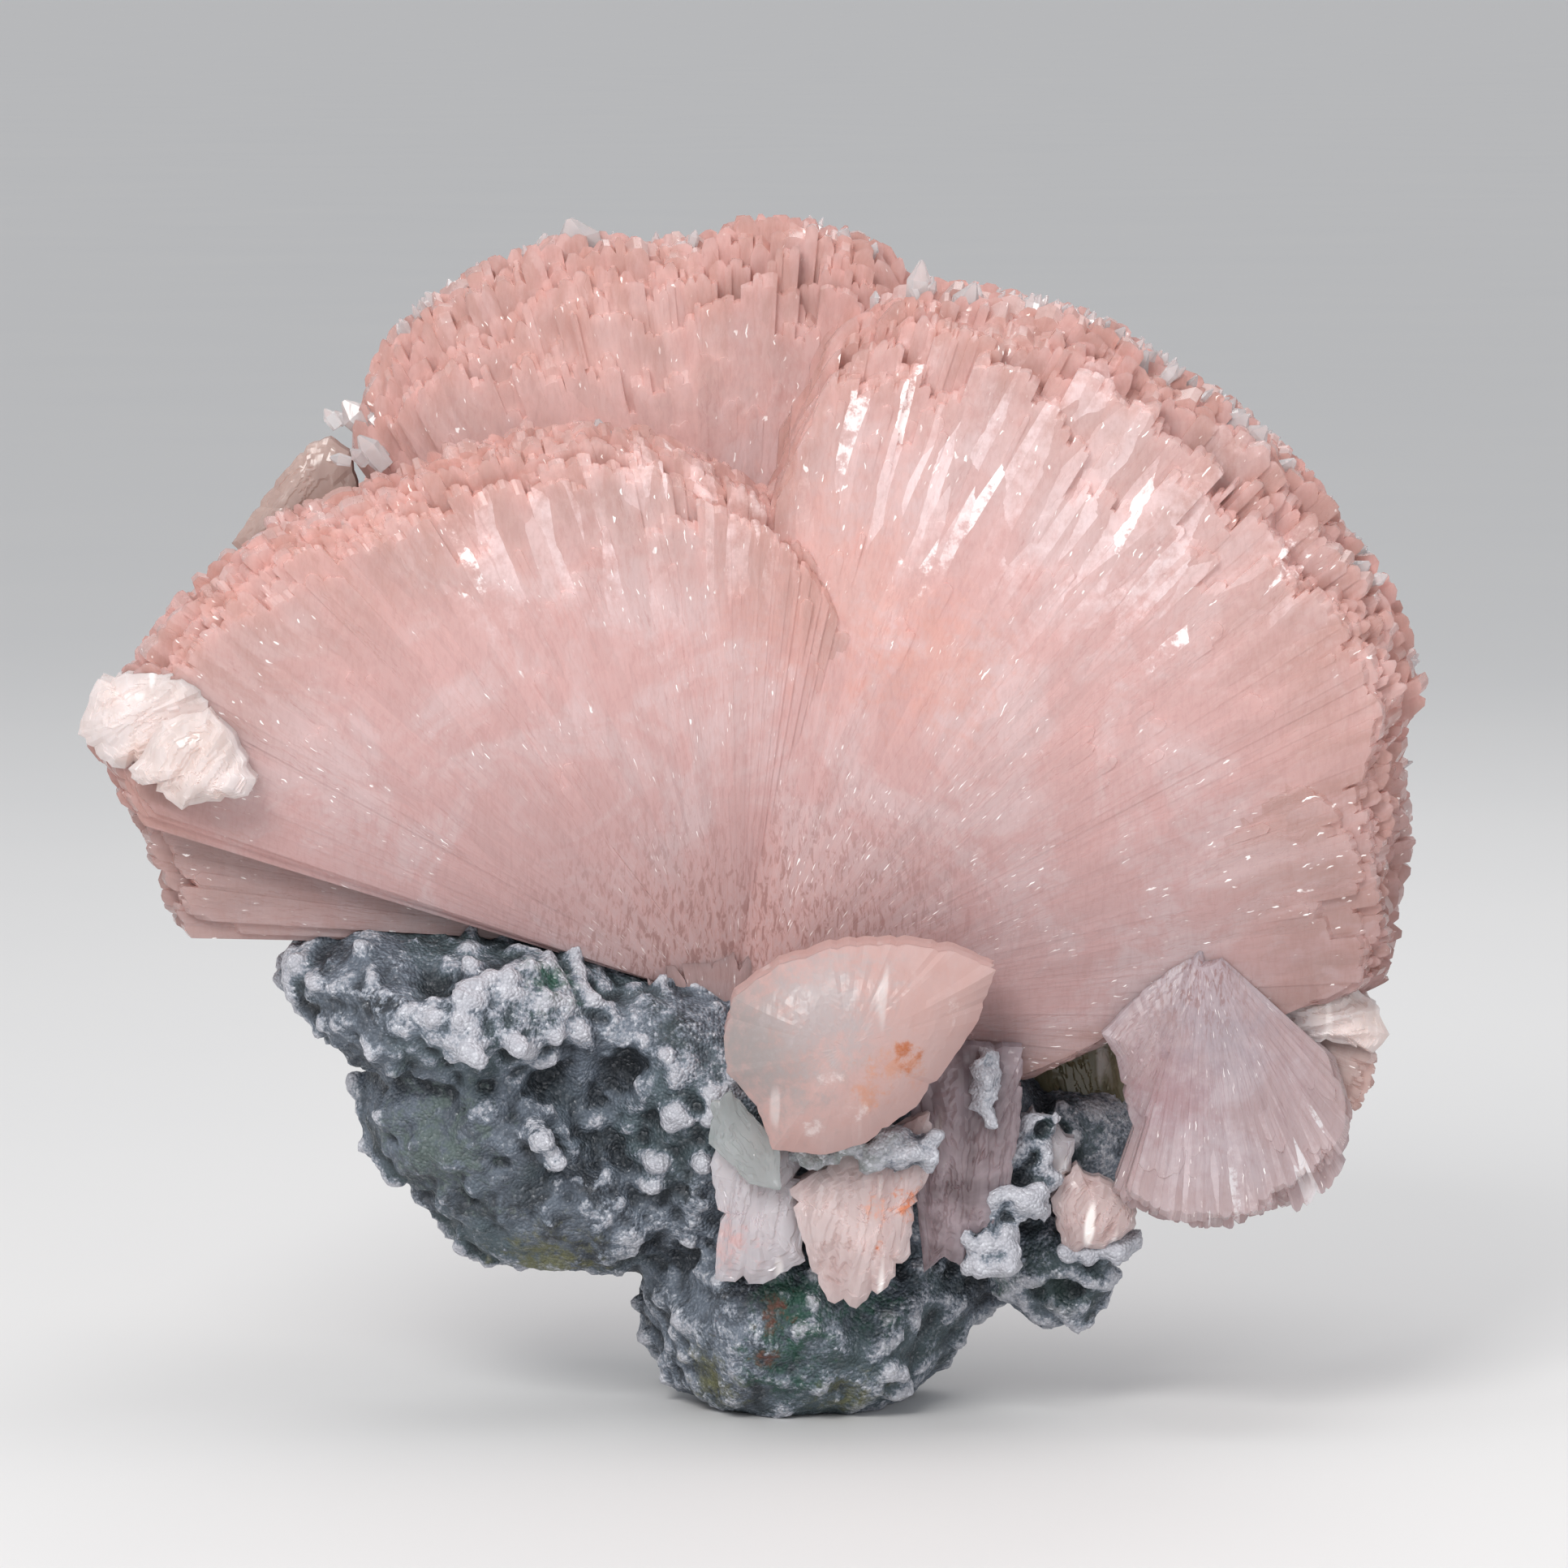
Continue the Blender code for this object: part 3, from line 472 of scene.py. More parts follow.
# Small clear crystals on the rims: name, fan, angle, distance of the tip from the root, place
# between the fan's front and back, length, half-width, and how far the tip leans to the right
RIM_CRYSTALS = (
    ("rim_crystal_left_high", "back_crest", -32.8, 64.4, 0.22, 4.4, 1.4, -1.0),
    ("rim_crystal_left_low", "front_left", -33.2, 61.2, 0.95, 3.8, 1.1, -0.6),
    ("rim_crystal_crest", "front_left", -13.4, 54.6, 0.50, 4.2, 1.2, 0.2),
    ("rim_crystal_top", "back_crest", -11.9, 71.6, 0.42, 5.2, 2.2, -0.6),
    ("rim_crystal_fork_a", "right", 14.2, 68.6, 0.30, 4.8, 1.2, -0.6),
    ("rim_crystal_fork_b", "right", 17.4, 68.0, 0.26, 4.6, 1.3, 0.7),
    ("rim_crystal_notch", "right", 22.6, 63.8, 0.12, 4.2, 1.5, 0.6),
    ("rim_crystal_arch", "right", 31.4, 69.0, 0.26, 4.6, 1.3, 0.4),
    ("rim_crystal_right_high", "right", 40.0, 69.6, 0.24, 5.0, 2.0, 0.3),
    ("rim_crystal_right_low", "right", 44.8, 69.6, 0.26, 4.4, 1.4, 0.5),
    ("rim_crystal_right_end", "right", 54.2, 68.8, 0.22, 4.4, 1.3, 0.2),
)


class Heap:
    """Corners and faces of many small closed solids, gathered for one mesh."""

    def __init__(self):
        self.points = []
        self.faces = []

    def add(self, points, faces):
        start = len(self.points)
        self.points += points
        self.faces += [tuple(start + i for i in face) for face in faces]

    def made(self, name):
        mesh = bpy.data.meshes.new(name)
        mesh.from_pydata([tuple(c * MM for c in point) for point in self.points], [], self.faces)
        return linked(name, mesh)


def linked(name, mesh):
    thing = bpy.data.objects.new(name, mesh)
    bpy.context.scene.collection.objects.link(thing)
    return thing


def object_from(form, name):
    mesh = bpy.data.meshes.new(name)
    form.to_mesh(mesh)
    form.free()
    return linked(name, mesh)


def settled(source, name=None):
    """The object with its modifiers worked in. The source goes."""
    name = name or source.name
    graph = bpy.context.evaluated_depsgraph_get()
    mesh = bpy.data.meshes.new_from_object(source.evaluated_get(graph))
    bpy.data.objects.remove(source)
    mesh.name = name
    return linked(name, mesh)


def combine(target, others, operation="UNION"):
    """Joins closed solids to the target, or cuts them from it. The others go."""
    group = bpy.data.collections.new("helpers")
    bpy.context.scene.collection.children.link(group)
    for other in others:
        group.objects.link(other)
    boolean = target.modifiers.new("combine", "BOOLEAN")
    boolean.operand_type = "COLLECTION"
    boolean.collection = group
    boolean.operation = operation
    boolean.solver = "MANIFOLD"
    made = settled(target)
    for other in others:
        bpy.data.objects.remove(other)
    bpy.data.collections.remove(group)
    return made


def between(pair, share):
    return pair[0] + (pair[1] - pair[0]) * share


def reach_at(fan, angle):
    return float(np.interp(angle, [a for a, _ in fan.reach], [r for _, r in fan.reach]))


def crest_share(fan, place):
    """How much of the full length blades have at this place between the front and the back."""
    front = max(0.0, 1 - place / ROUNDING)
    back = max(0.0, 1 - (1 - place) / ROUNDING)
    return 1 - fan.drop[0] * front ** 2 - fan.drop[1] * back ** 2


def layers_of(fan):
    """The fan's layers from front to back, as shares of its thickness: thin ones on its faces."""
    far = max(length for _, length in fan.reach)
    thick = fan.depth[1] - fan.depth[0] + math.radians(fan.lean[1] - fan.lean[0]) * far
    sizes, size = [], FACE_LAYER
    while sum(sizes) < thick / 2:
        sizes.append(size)
        size = min(size * LAYER_GROWTH, HEART_LAYER)
    sizes += sizes[::-1]
    total = sum(sizes)
    edges = [sum(sizes[:i]) / total for i in range(len(sizes) + 1)]
    return list(zip(edges, edges[1:]))


def blade_axes(angle, lean, twist=0.0):
    """Unit vectors across a blade, along it, and out of its front face."""
    a, b = math.radians(angle), math.radians(lean)
    along = Vector((math.sin(a) * math.cos(b), math.sin(b), math.cos(a) * math.cos(b)))
    across = Vector((math.cos(a), 0, -math.sin(a)))
    if twist:
        across = Matrix.Rotation(math.radians(twist), 3, along) @ across
    return across, along, across.cross(along).normalized()


def root_of(fan, angle, place):
    low, high = fan.crown_over or (fan.reach[0][0], fan.reach[-1][0])
    middle, half = (low + high) / 2, (high - low) / 2
    back = fan.crown * ((angle - middle) / half) ** 2
    back += fan.tuck[2] * min(1, max(0, (angle - fan.tuck[0]) / (fan.tuck[1] - fan.tuck[0]))) ** 2
    return Vector((fan.root[0], between(fan.depth, place) + back, fan.root[1]))


BLADE_FACES = [(0, 1, 2, 3, 4, 5), (11, 10, 9, 8, 7, 6)]
BLADE_FACES += [(i, i + 6, (i + 1) % 6 + 6, (i + 1) % 6) for i in range(6)]


def blade(root, axes, start, length, widths, halves, shoulder, peak, bevel, slant=0.0):
    """Corners of a blade. widths and halves are half sizes at the start and at the tip.

    shoulder is how far its sides end short of its tip, peak where the tip is across the width,
    bevel how far the front face ends short of the back one, or the other way if negative, and
    slant how much longer its right side is than its middle.
    """
    across, along, out = axes
    points = []
    for side in (1, -1):
        cut = max(0.0, bevel * side)
        for share, v in ((-1, start), (1, start), (1, length - shoulder - cut),
                         (peak + 0.3, length - cut), (peak - 0.3, length - cut),
                         (-1, length - shoulder - cut)):
            t = (v - start) / (length - start)
            v += share * slant * (t > 0.5)
            width = widths[0] + (widths[1] - widths[0]) * t
            half = halves[0] + (halves[1] - halves[0]) * t
            points.append(root + along * v + across * share * width + out * side * half)
    return points


def fan_core(fan):
    """The solid heart of the fan, which its layers of blades stand out of."""
    form = bmesh.new()
    low, high = fan.reach[0][0], fan.reach[-1][0]
    steps = 9
    for layer in (0.08, 0.92):
        for step in range(steps + 1):
            angle = low + (high - low) * step / steps
            _, along, _ = blade_axes(angle, between(fan.lean, layer))
            root = root_of(fan, angle, layer)
            far = reach_at(fan, angle) * crest_share(fan, layer) * CORE_REACH
            form.verts.new((root + along * fan.start) * MM)
            form.verts.new((root + along * far) * MM)
    return hull(form)


def hull(form):
    done = bmesh.ops.convex_hull(form, input=form.verts)
    loose = [piece for piece in done["geom_interior"] if isinstance(piece, bmesh.types.BMVert)]
    bmesh.ops.delete(form, geom=loose, context="VERTS")
    bmesh.ops.recalc_face_normals(form, faces=form.faces)
    return form


def bundles_of(fan, draw, level):
    """Groups of blades that grew as one: (first angle, last angle, twist, lean, length, step)."""
    low, high = fan.reach[0][0], fan.reach[-1][0]
    chance, broken_from, broken_to = fan.broken
    groups, angle = [], low - 1
    while angle < high + 1:
        last = angle + math.degrees(BUNDLE_WIDTH / reach_at(fan, angle)) * draw.uniform(0.45, 1.6)
        step = 0.0
        if level < 4 and broken_from < angle < broken_to and draw.random() < chance:
            step = draw.uniform(0.02, 0.17) / (1 + 0.5 * level)
        groups.append((angle, last, draw.gauss(0, 0.9), draw.gauss(0, 0.06),
                       draw.gauss(0, 0.008), step))
        angle = last
    return groups


def layer_sizes(fan, front, back):
    """Half the thickness of a layer at the root, and how fast it grows along the blades."""
    share = 0.5 * OVERLAP * (back - front)
    return (share * (fan.depth[1] - fan.depth[0]),
            share * math.radians(fan.lean[1] - fan.lean[0]))


def grow_layer(fan, level, layers, heaps):
    """One layer of blades side by side. Neighbours go to different heaps, since they overlap."""
    draw = random.Random(f"{fan.name} {level}")
    front, back = layers[level]
    place = (front + back) / 2
    lean = between(fan.lean, place)
    thick, spread = layer_sizes(fan, front, back)
    depth_level = min(level, len(layers) - 1 - level)
    width_share = 1.0 if depth_level < 4 else 1.5
    low = fan.reach[0][0] + draw.uniform(-0.8, 2.2)
    high = fan.reach[-1][0] - draw.uniform(-0.8, 2.2)
    groups = bundles_of(fan, draw, depth_level)
    ends = random.Random(f"{fan.name} {level} ends")
    angle, count = low, 0
    while angle < high:
        full = reach_at(fan, angle)
        step = math.degrees(fan.width * width_share / full) * draw.uniform(0.5, 1.6)
        last = high if high - angle - step < 0.5 * step else angle + step
        middle = (angle + last) / 2
        first, end, twist, tilt, grown, broken = next(g for g in groups if middle < g[1])
        aside = 2 * (middle - first) / (end - first) - 1
        length = reach_at(fan, middle) * crest_share(fan, place)
        length *= 1 - 0.02 * aside ** 4 + grown + draw.gauss(0, 0.0022)
        length *= 1 - broken * (1 - 0.25 * abs(aside) - 0.2 * draw.random())
        length = min(length, reach_at(fan, middle) * LONGEST)
        edge = middle - low < 3 or high - middle < 3
        start = fan.start if depth_level < 2 or edge else 0.55 * length
        slope = math.tan(math.radians(last - angle) / 2) * SIDE_OVERLAP
        axes = blade_axes(middle, lean + tilt + draw.gauss(0, 0.025), twist + draw.gauss(0, 0.6))
        width = slope * length
        bevel = draw.uniform(0.5, 1.4) if draw.random() < 0.2 else draw.uniform(0.1, 0.5)
        bevel *= 1 if place < 0.6 else -1
        slant = (reach_at(fan, last) - reach_at(fan, angle)) / 2
        slant = max(-1.5, min(1.5, slant)) * length / reach_at(fan, middle)
        shoulder, peak = width * draw.uniform(0.15, 0.7), draw.uniform(-0.4, 0.4)
        root, plump = root_of(fan, middle, place), 1.0
        if depth_level > 1:
            plump = ends.uniform(0.9, 1.3)
            root += axes[2] * ends.uniform(-0.18, 0.18) * (thick + spread * length)
            shoulder = width * ends.uniform(0.2, 1.3)
            bevel = ends.uniform(-1.2, 1.2) * (thick + spread * length)
        points = blade(
            root, axes, start, length, (max(0.04, slope * start), width),
            ((thick + spread * start) * plump, (thick + spread * length) * plump),
            shoulder, peak, bevel, slant,
        )
        heaps[(level % 2) * 2 + count % 2].add(points, BLADE_FACES)
        angle = last
        count += 1


def grow_flakes(fan, layers, heaps):
    """Clusters of thin cleavage flakes on the fan's faces, whose ends make small steps."""
    draw = random.Random(fan.name + " flakes")
    low, high = fan.reach[0][0], fan.reach[-1][0]
    taken = [[], []]
    for _ in range(fan.flakes):
        behind = draw.random() < (0.9 if fan.name.startswith("rear") else 0.35)
        level = min(int(abs(draw.gauss(0, 1.2))), 3, len(layers) // 3)
        front, back = layers[-1 - level if behind else level]
        place = (front + back) / 2
        thick, spread = layer_sizes(fan, front, back)
        angle = draw.uniform(low + 3, high - 3)
        share = 1 - abs(draw.gauss(0.03, 0.17))
        if fan.flaky and draw.random() < 0.65:
            angle = draw.uniform(*fan.flaky[:2])
            share = draw.uniform(*fan.flaky[2:])
        far = reach_at(fan, angle) * crest_share(fan, place) * share
        size = draw.uniform(0.35, 1.0)
        for member in range(draw.randint(1, 5)):
            length = draw.uniform(2.5, 9.0) * (0.5 + size)
            half_width = size * draw.uniform(0.6, 1.3)
            tip = far + draw.gauss(0, 0.9)
            reach = math.degrees(half_width * 1.15 / tip)
            box = (angle - reach, angle + reach, tip - length - 0.5, tip + 0.5)
            boxes = taken[member % 2]
            clear = all(box[1] < b[0] or b[1] < box[0] or box[3] < b[2] or b[3] < box[2]
                        for b in boxes)
            if clear and tip - length > fan.start + 2 and low + 1 < angle < high - 1:
                boxes.append(box)
                side = -1 if behind else 1
                across, along, out = blade_axes(angle, between(fan.lean, place), draw.gauss(0, 1.5))
                rise = draw.uniform(0.08, 0.32)
                middle = root_of(fan, angle, place) + along * (tip - length)
                middle += out * side * (thick + spread * (tip - length) - 0.5)
                slope = spread * side
                axes = (across, (along + out * slope).normalized(), (out - along * slope).normalized())
                heaps[member % 2].add(
                    blade(middle, axes, 0.0, length, (half_width * 0.8, half_width),
                          (FLAKE_ROOT, 0.5 + rise), half_width * draw.uniform(0.4, 1.1),
                          draw.uniform(-0.4, 0.4), side * draw.uniform(0.2, 0.8)),
                    BLADE_FACES)
            angle += math.degrees(half_width * 1.75 / tip) * draw.choice((1, 1, -1))


WAY_STEPS = 160  # how finely the way a face looks is told apart
FACET_SHADES = 1009


def mark(mesh, name, values, domain="POINT"):
    """Keeps a number for each corner or face, which the finishes read."""
    attribute = mesh.attributes.new(name, "FLOAT", domain)
    attribute.data.foreach_set("value", np.ascontiguousarray(values, np.float32))


def read(items, field, width=3, kind=np.float32):
    """One field of all corners, edges or faces of a mesh: a row for each."""
    found = np.empty(len(items) * width, kind)
    items.foreach_get(field, found)
    return found.reshape(-1, width) if width > 1 else found


def facets_of(mesh):
    """A number from 0 to 1 for each face, the same for faces that lie in one plane."""
    steps = np.round(read(mesh.polygons, "normal") * WAY_STEPS).astype(np.int64)
    mixed = steps[:, 0] * 73856093 ^ steps[:, 1] * 19349663 ^ steps[:, 2] * 83492791
    return (mixed % FACET_SHADES) / FACET_SHADES


def tips_of(mesh, fan):
    """From 0 on the faces along the blades to 1 on those that end them."""
    ways, middles = read(mesh.polygons, "normal"), read(mesh.polygons, "center") / MM
    along = np.stack([middles[:, 0] - fan.root[0], middles[:, 2] - fan.root[1]], axis=1)
    along /= np.maximum(1e-6, np.linalg.norm(along, axis=1))[:, None]
    ending = ways[:, 0] * along[:, 0] + ways[:, 2] * along[:, 1]
    return np.clip((ending - 0.3) / 0.3, 0, 1)


def mark_fan(thing, fans):
    """Keeps how near its fan's crest each corner of each face lies, and a number for each facet."""
    mesh = thing.data
    numbers = np.zeros(len(mesh.polygons), np.float32)
    if "number" in mesh.attributes:
        numbers = read(mesh.attributes["number"].data, "value", 1)
    sizes = read(mesh.polygons, "loop_total", 1, np.int32)
    corners = read(mesh.loops, "vertex_index", 1, np.int32)
    owners = np.repeat(numbers.round().astype(np.int32), sizes)
    places = read(mesh.vertices, "co")[corners] / MM
    near = np.zeros(len(corners), np.float32)
    for number, fan in enumerate(fans):
        own = owners == number
        across, up = places[own, 0] - fan.root[0], places[own, 2] - fan.root[1]
        angles = np.degrees(np.arctan2(across, up))
        if fan.reach[-1][0] > 180:
            angles = np.where(angles < 0, angles + 360, angles)
        full = np.interp(angles, [a for a, _ in fan.reach], [r for _, r in fan.reach])
        near[own] = np.hypot(across, up) / full
    mark(mesh, "crest", near, "CORNER")
    mark(mesh, "facet", facets_of(mesh), "FACE")
    mark(mesh, "tip", tips_of(mesh, fans[0]), "FACE")


def grow_fan(name, fan, *more, number=0):
    """A fan as one closed solid: its heart, its layers of blades and its flakes."""
    layers = layers_of(fan)
    heaps = [Heap() for _ in range(4)]
    for level in range(len(layers)):
        grow_layer(fan, level, layers, heaps)
    flakes = [Heap(), Heap()]
    grow_flakes(fan, layers, flakes)
    parts = [heap.made("layer") for heap in heaps + flakes if heap.points]
    thing = combine(object_from(fan_core(fan), name), [*parts, *more])
    mark(thing.data, "number", np.full(len(thing.data.polygons), number), "FACE")
    return thing


def make_fan(name, fan, *more):
    thing = grow_fan(name, fan, *more)
    mark_fan(thing, [fan])
    return thing


def merge_fans(name, fans):
    """Fans with the same root, grown into one closed solid."""
    grown = [grow_fan("grown_" + fan.name, fan, number=number) for number, fan in enumerate(fans)]
    thing = combine(grown[0], grown[1:]) if len(grown) > 1 else grown[0]
    thing.name = name
    mark_fan(thing, fans)
    return thing


def ragged(outline, draw, rough):
    """The outline with more corners, each moved a little, and now and then a chip out of it."""
    points = []
    for (x, z), (next_x, next_z) in zip(outline, outline[1:] + outline[:1]):
        steps = max(1, round(math.hypot(next_x - x, next_z - z) / RIM_STEP))
        for step in range(steps):
            share = step / steps
            points.append([x + (next_x - x) * share, z + (next_z - z) * share])
    middle = np.mean(points, axis=0)
    moved = []
    for point in points:
        inward = (middle - point) / max(1e-6, np.linalg.norm(middle - point))
        bite = abs(draw.gauss(0, rough)) + (rough * 3 if draw.random() < CHIP_CHANCE else 0)
        moved.append(tuple(np.array(point) + inward * bite))
    return moved


def slab_surface(slab, shift):
    """Gives how far forward a slab is at x and z: share is 0 in its middle and 1 at its rim."""
    back, front = slab.depth
    middle, half = (back + front) / 2, abs(front - back) / 2
    turn = math.radians(slab.grain)

    def surface(x, z, share, side):
        across = x * math.cos(turn) - z * math.sin(turn)
        along = x * math.sin(turn) + z * math.cos(turn)
        shape = noise.noise((across * 0.45, along * 0.10, shift + side))
        shape += 0.6 * noise.noise((across * 1.3, along * 0.22, shift + side + 9))
        shape += 0.25 * noise.noise((across * 4.0, along * 0.6, shift + side + 20))
        terrace = slab.step * (math.floor(shape * 3.2) + 0.5) / 3.2
        top = half * (1 - slab.bulge * share ** 3) + terrace * min(1, (1 - share) * 6)
        return middle + side * (top - 0.3 * slab.step)

    return surface


def slab_faces(count, edges, tops):
    """Faces between the rows of a slab's rim, over its back and front, and round their middles."""
    faces = []
    for first, second in zip(edges, edges[1:]):
        faces += [(first + i, second + i, second + (i + 1) % count, first + (i + 1) % count)
                  for i in range(count)]
    for start, top in zip((0, SLAB_RINGS * count), tops):
        for ring in range(SLAB_RINGS - 1):
            low, high = start + ring * count, start + (ring + 1) * count
            faces += [(low + i, low + (i + 1) % count, high + (i + 1) % count, high + i)
                      for i in range(count)]
        last = start + (SLAB_RINGS - 1) * count
        faces += [(last + i, last + (i + 1) % count, top) for i in range(count)]
    return faces


def cleaved(slab):
    """A crystal slab with a bulging front and back, broken into low steps along its grain."""
    draw = random.Random(slab.name)
    surface = slab_surface(slab, draw.uniform(0, 50))
    centre = np.mean(slab.outline, axis=0)
    rim = np.array(ragged(slab.outline, draw, slab.rough))
    count = len(rim)
    points = []
    for side in (-1, 1):
        for ring in range(SLAB_RINGS):
            share = 1 - (ring / SLAB_RINGS) ** 1.15
            for x, z in centre + (rim - centre) * share:
                points.append(Vector((x, surface(x, z, share, side), z)))
    tops = [len(points), len(points) + 1]
    for side in (-1, 1):
        points.append(Vector((centre[0], surface(*centre, 0, side), centre[1])))
    back_rim, front_rim = points[:count], points[SLAB_RINGS * count:(SLAB_RINGS + 1) * count]
    edges = [0]
    for layer in range(1, slab.layers):
        edges.append(len(points))
        inward = 1 - draw.uniform(0.0, 0.03) - 0.02 * (layer % 2)
        for (x, z), low, high in zip(centre + (rim - centre) * inward, back_rim, front_rim):
            points.append(Vector((x, low.y + (high.y - low.y) * layer / slab.layers, z)))
    edges.append(SLAB_RINGS * count)
    heap = Heap()
    heap.add(points, slab_faces(count, edges, tops))
    thing = heap.made(slab.name)
    outward(thing)
    return thing


def outward(thing):
    """Turns all faces outwards and splits them into triangles."""
    form = bmesh.new()
    form.from_mesh(thing.data)
    bmesh.ops.triangulate(form, faces=form.faces)
    bmesh.ops.recalc_face_normals(form, faces=form.faces)
    form.to_mesh(thing.data)
    form.free()


def coffin(foot, along, across, length, half_width, draw):
    """Corners and faces of a short flattened crystal with a roof-shaped end."""
    out = across.cross(along)
    points = []
    for share, wide, thick in ((0.0, 0.8, 0.5), (0.62, 1.0, 0.6), (1.0, 0.16, 0.12)):
        centre = foot + along * length * share
        for side, depth in ((-1, 0), (-0.6, 1), (0.6, 1), (1, 0), (0.6, -1), (-0.6, -1)):
            points.append(centre + across * side * wide * half_width * draw.uniform(0.92, 1.05)
                          + out * depth * thick * half_width)
    faces = [(0, 1, 2, 3, 4, 5), (17, 16, 15, 14, 13, 12)]
    for ring in (0, 6):
        faces += [(ring + i, ring + i + 6, ring + (i + 1) % 6 + 6, ring + (i + 1) % 6)
                  for i in range(6)]
    return points, faces


def make_rim_crystals(name):
    """The clear crystals along the rims, each with smaller ones grown beside it."""
    draw = random.Random(name)
    heap = Heap()
    fans = {fan.name: fan for fan in SHEAF_FANS}
    for _, fan_name, angle, distance, layer, length, half_width, swing in RIM_CRYSTALS:
        fan = fans[fan_name]
        _, way, _ = blade_axes(angle, between(fan.lean, layer))
        root = root_of(fan, angle, layer)
        foot = root + way * (distance - length)
        along = (root + way * distance + Vector((swing, 0, 0)) - foot).normalized()
        for index in range(4):
            size = 1.0 if index == 0 else draw.uniform(0.3, 0.6)
            turn = Vector((draw.gauss(0, 0.3), draw.gauss(0, 0.3), draw.gauss(0, 0.2)))
            lean = (along + turn * (index > 0)).normalized()
            across = lean.cross(Vector((0.2 * draw.gauss(0, 1), 1, 0))).normalized()
            side = Vector((draw.gauss(0, 1.5), draw.gauss(0, 1.2), 0)) * (index > 0)
            place = foot + side + way * (1 - size) * length * 0.45
            heap.add(*coffin(place, lean, across, length * size, half_width * size, draw))
    for _ in range(SMALL_RIM_CRYSTALS):
        fan = fans[draw.choice(("right", "right", "right", "right", "back_crest", "rear_right"))]
        low, high = fan.reach[0][0], fan.reach[-1][0]
        angle = draw.uniform(low + 2, high - 2)
        if fan.name == "right":
            angle = draw.triangular(9, 86, 24)
        layer = draw.uniform(0.3, 0.75)
        _, way, _ = blade_axes(angle, between(fan.lean, layer))
        length = draw.uniform(1.6, 2.6)
        tip = reach_at(fan, angle) * crest_share(fan, layer) + length * 0.33
        turn = Vector((draw.gauss(0, 0.25), draw.gauss(0, 0.3), draw.gauss(0, 0.2)))
        lean = (way + turn).normalized()
        across = lean.cross(Vector((draw.gauss(0, 0.5), 1, draw.gauss(0, 0.5)))).normalized()
        foot = root_of(fan, angle, layer) + way * (tip - length)
        heap.add(*coffin(foot, lean, across, length, draw.uniform(0.35, 0.7), draw))
    thing = heap.made(name)
    outward(thing)
    return thing


@lru_cache(maxsize=None)
def round_form(detail):
    """Corners and faces of a ball of radius 1."""
    form = bmesh.new()
    bmesh.ops.create_icosphere(form, subdivisions=detail, radius=1.0)
    points = [vert.co.copy() for vert in form.verts]
    faces = [tuple(vert.index for vert in face.verts) for face in form.faces]
    form.free()
    return points, faces


def ball(centre, radii, detail=2, turn=None):
    """Corners and faces of a rounded lump, whose third radius points along the turn."""
    points, faces = round_form(detail)
    lump = []
    for point in points:
        local = Vector(r * v for r, v in zip(radii, point))
        lump.append(Vector(centre) + (turn @ local if turn else local))
    return lump, faces


def surface_of(thing):
    points = [vert.co for vert in thing.data.vertices]
    return BVHTree.FromPolygons(points, [face.vertices for face in thing.data.polygons])


def melted(thing, voxel):
    melt = thing.modifiers.new("melt", "REMESH")
    melt.mode = "VOXEL"
    melt.voxel_size = voxel * MM
    return settled(thing)


def half_space(point, facing):
    form = bmesh.new()
    bmesh.ops.create_cube(form, size=1.0)
    turn = Vector(facing).normalized().to_track_quat("Z", "Y")
    for vert in form.verts:
        local = Vector((vert.co.x * 2 * FAR, vert.co.y * 2 * FAR, (vert.co.z + 0.5) * FAR))
        vert.co = (Vector(point) + turn @ local) * MM
    return object_from(form, "break")


def front_of(surface, x, z):
    """The front of the rock at this x and z: the place, and the way it faces."""
    hit, way, _, _ = surface.ray_cast(Vector((x, -FAR, z)) * MM, Vector((0, 1, 0)))
    return (hit / MM, way) if hit else (None, None)


def knob(heap, place, way, radius, tall, draw):
    """A rounded knob that stands out of the rock, a little askew."""
    lean = way + Vector((draw.gauss(0, 0.25), draw.gauss(0, 0.25), draw.gauss(0, 0.25)))
    turn = lean.normalized().to_track_quat("Z", "Y")
    radii = (radius * draw.uniform(0.85, 1.15), radius, radius * tall * draw.uniform(0.8, 1.2))
    heap.add(*ball(place + way * radius * 0.2, radii, 2, turn))


def in_pit(x, z):
    return any(math.hypot((x - centre[0]) / radii[0], (z - centre[2]) / radii[2]) < 0.95
               for centre, radii in ROCK_PITS)


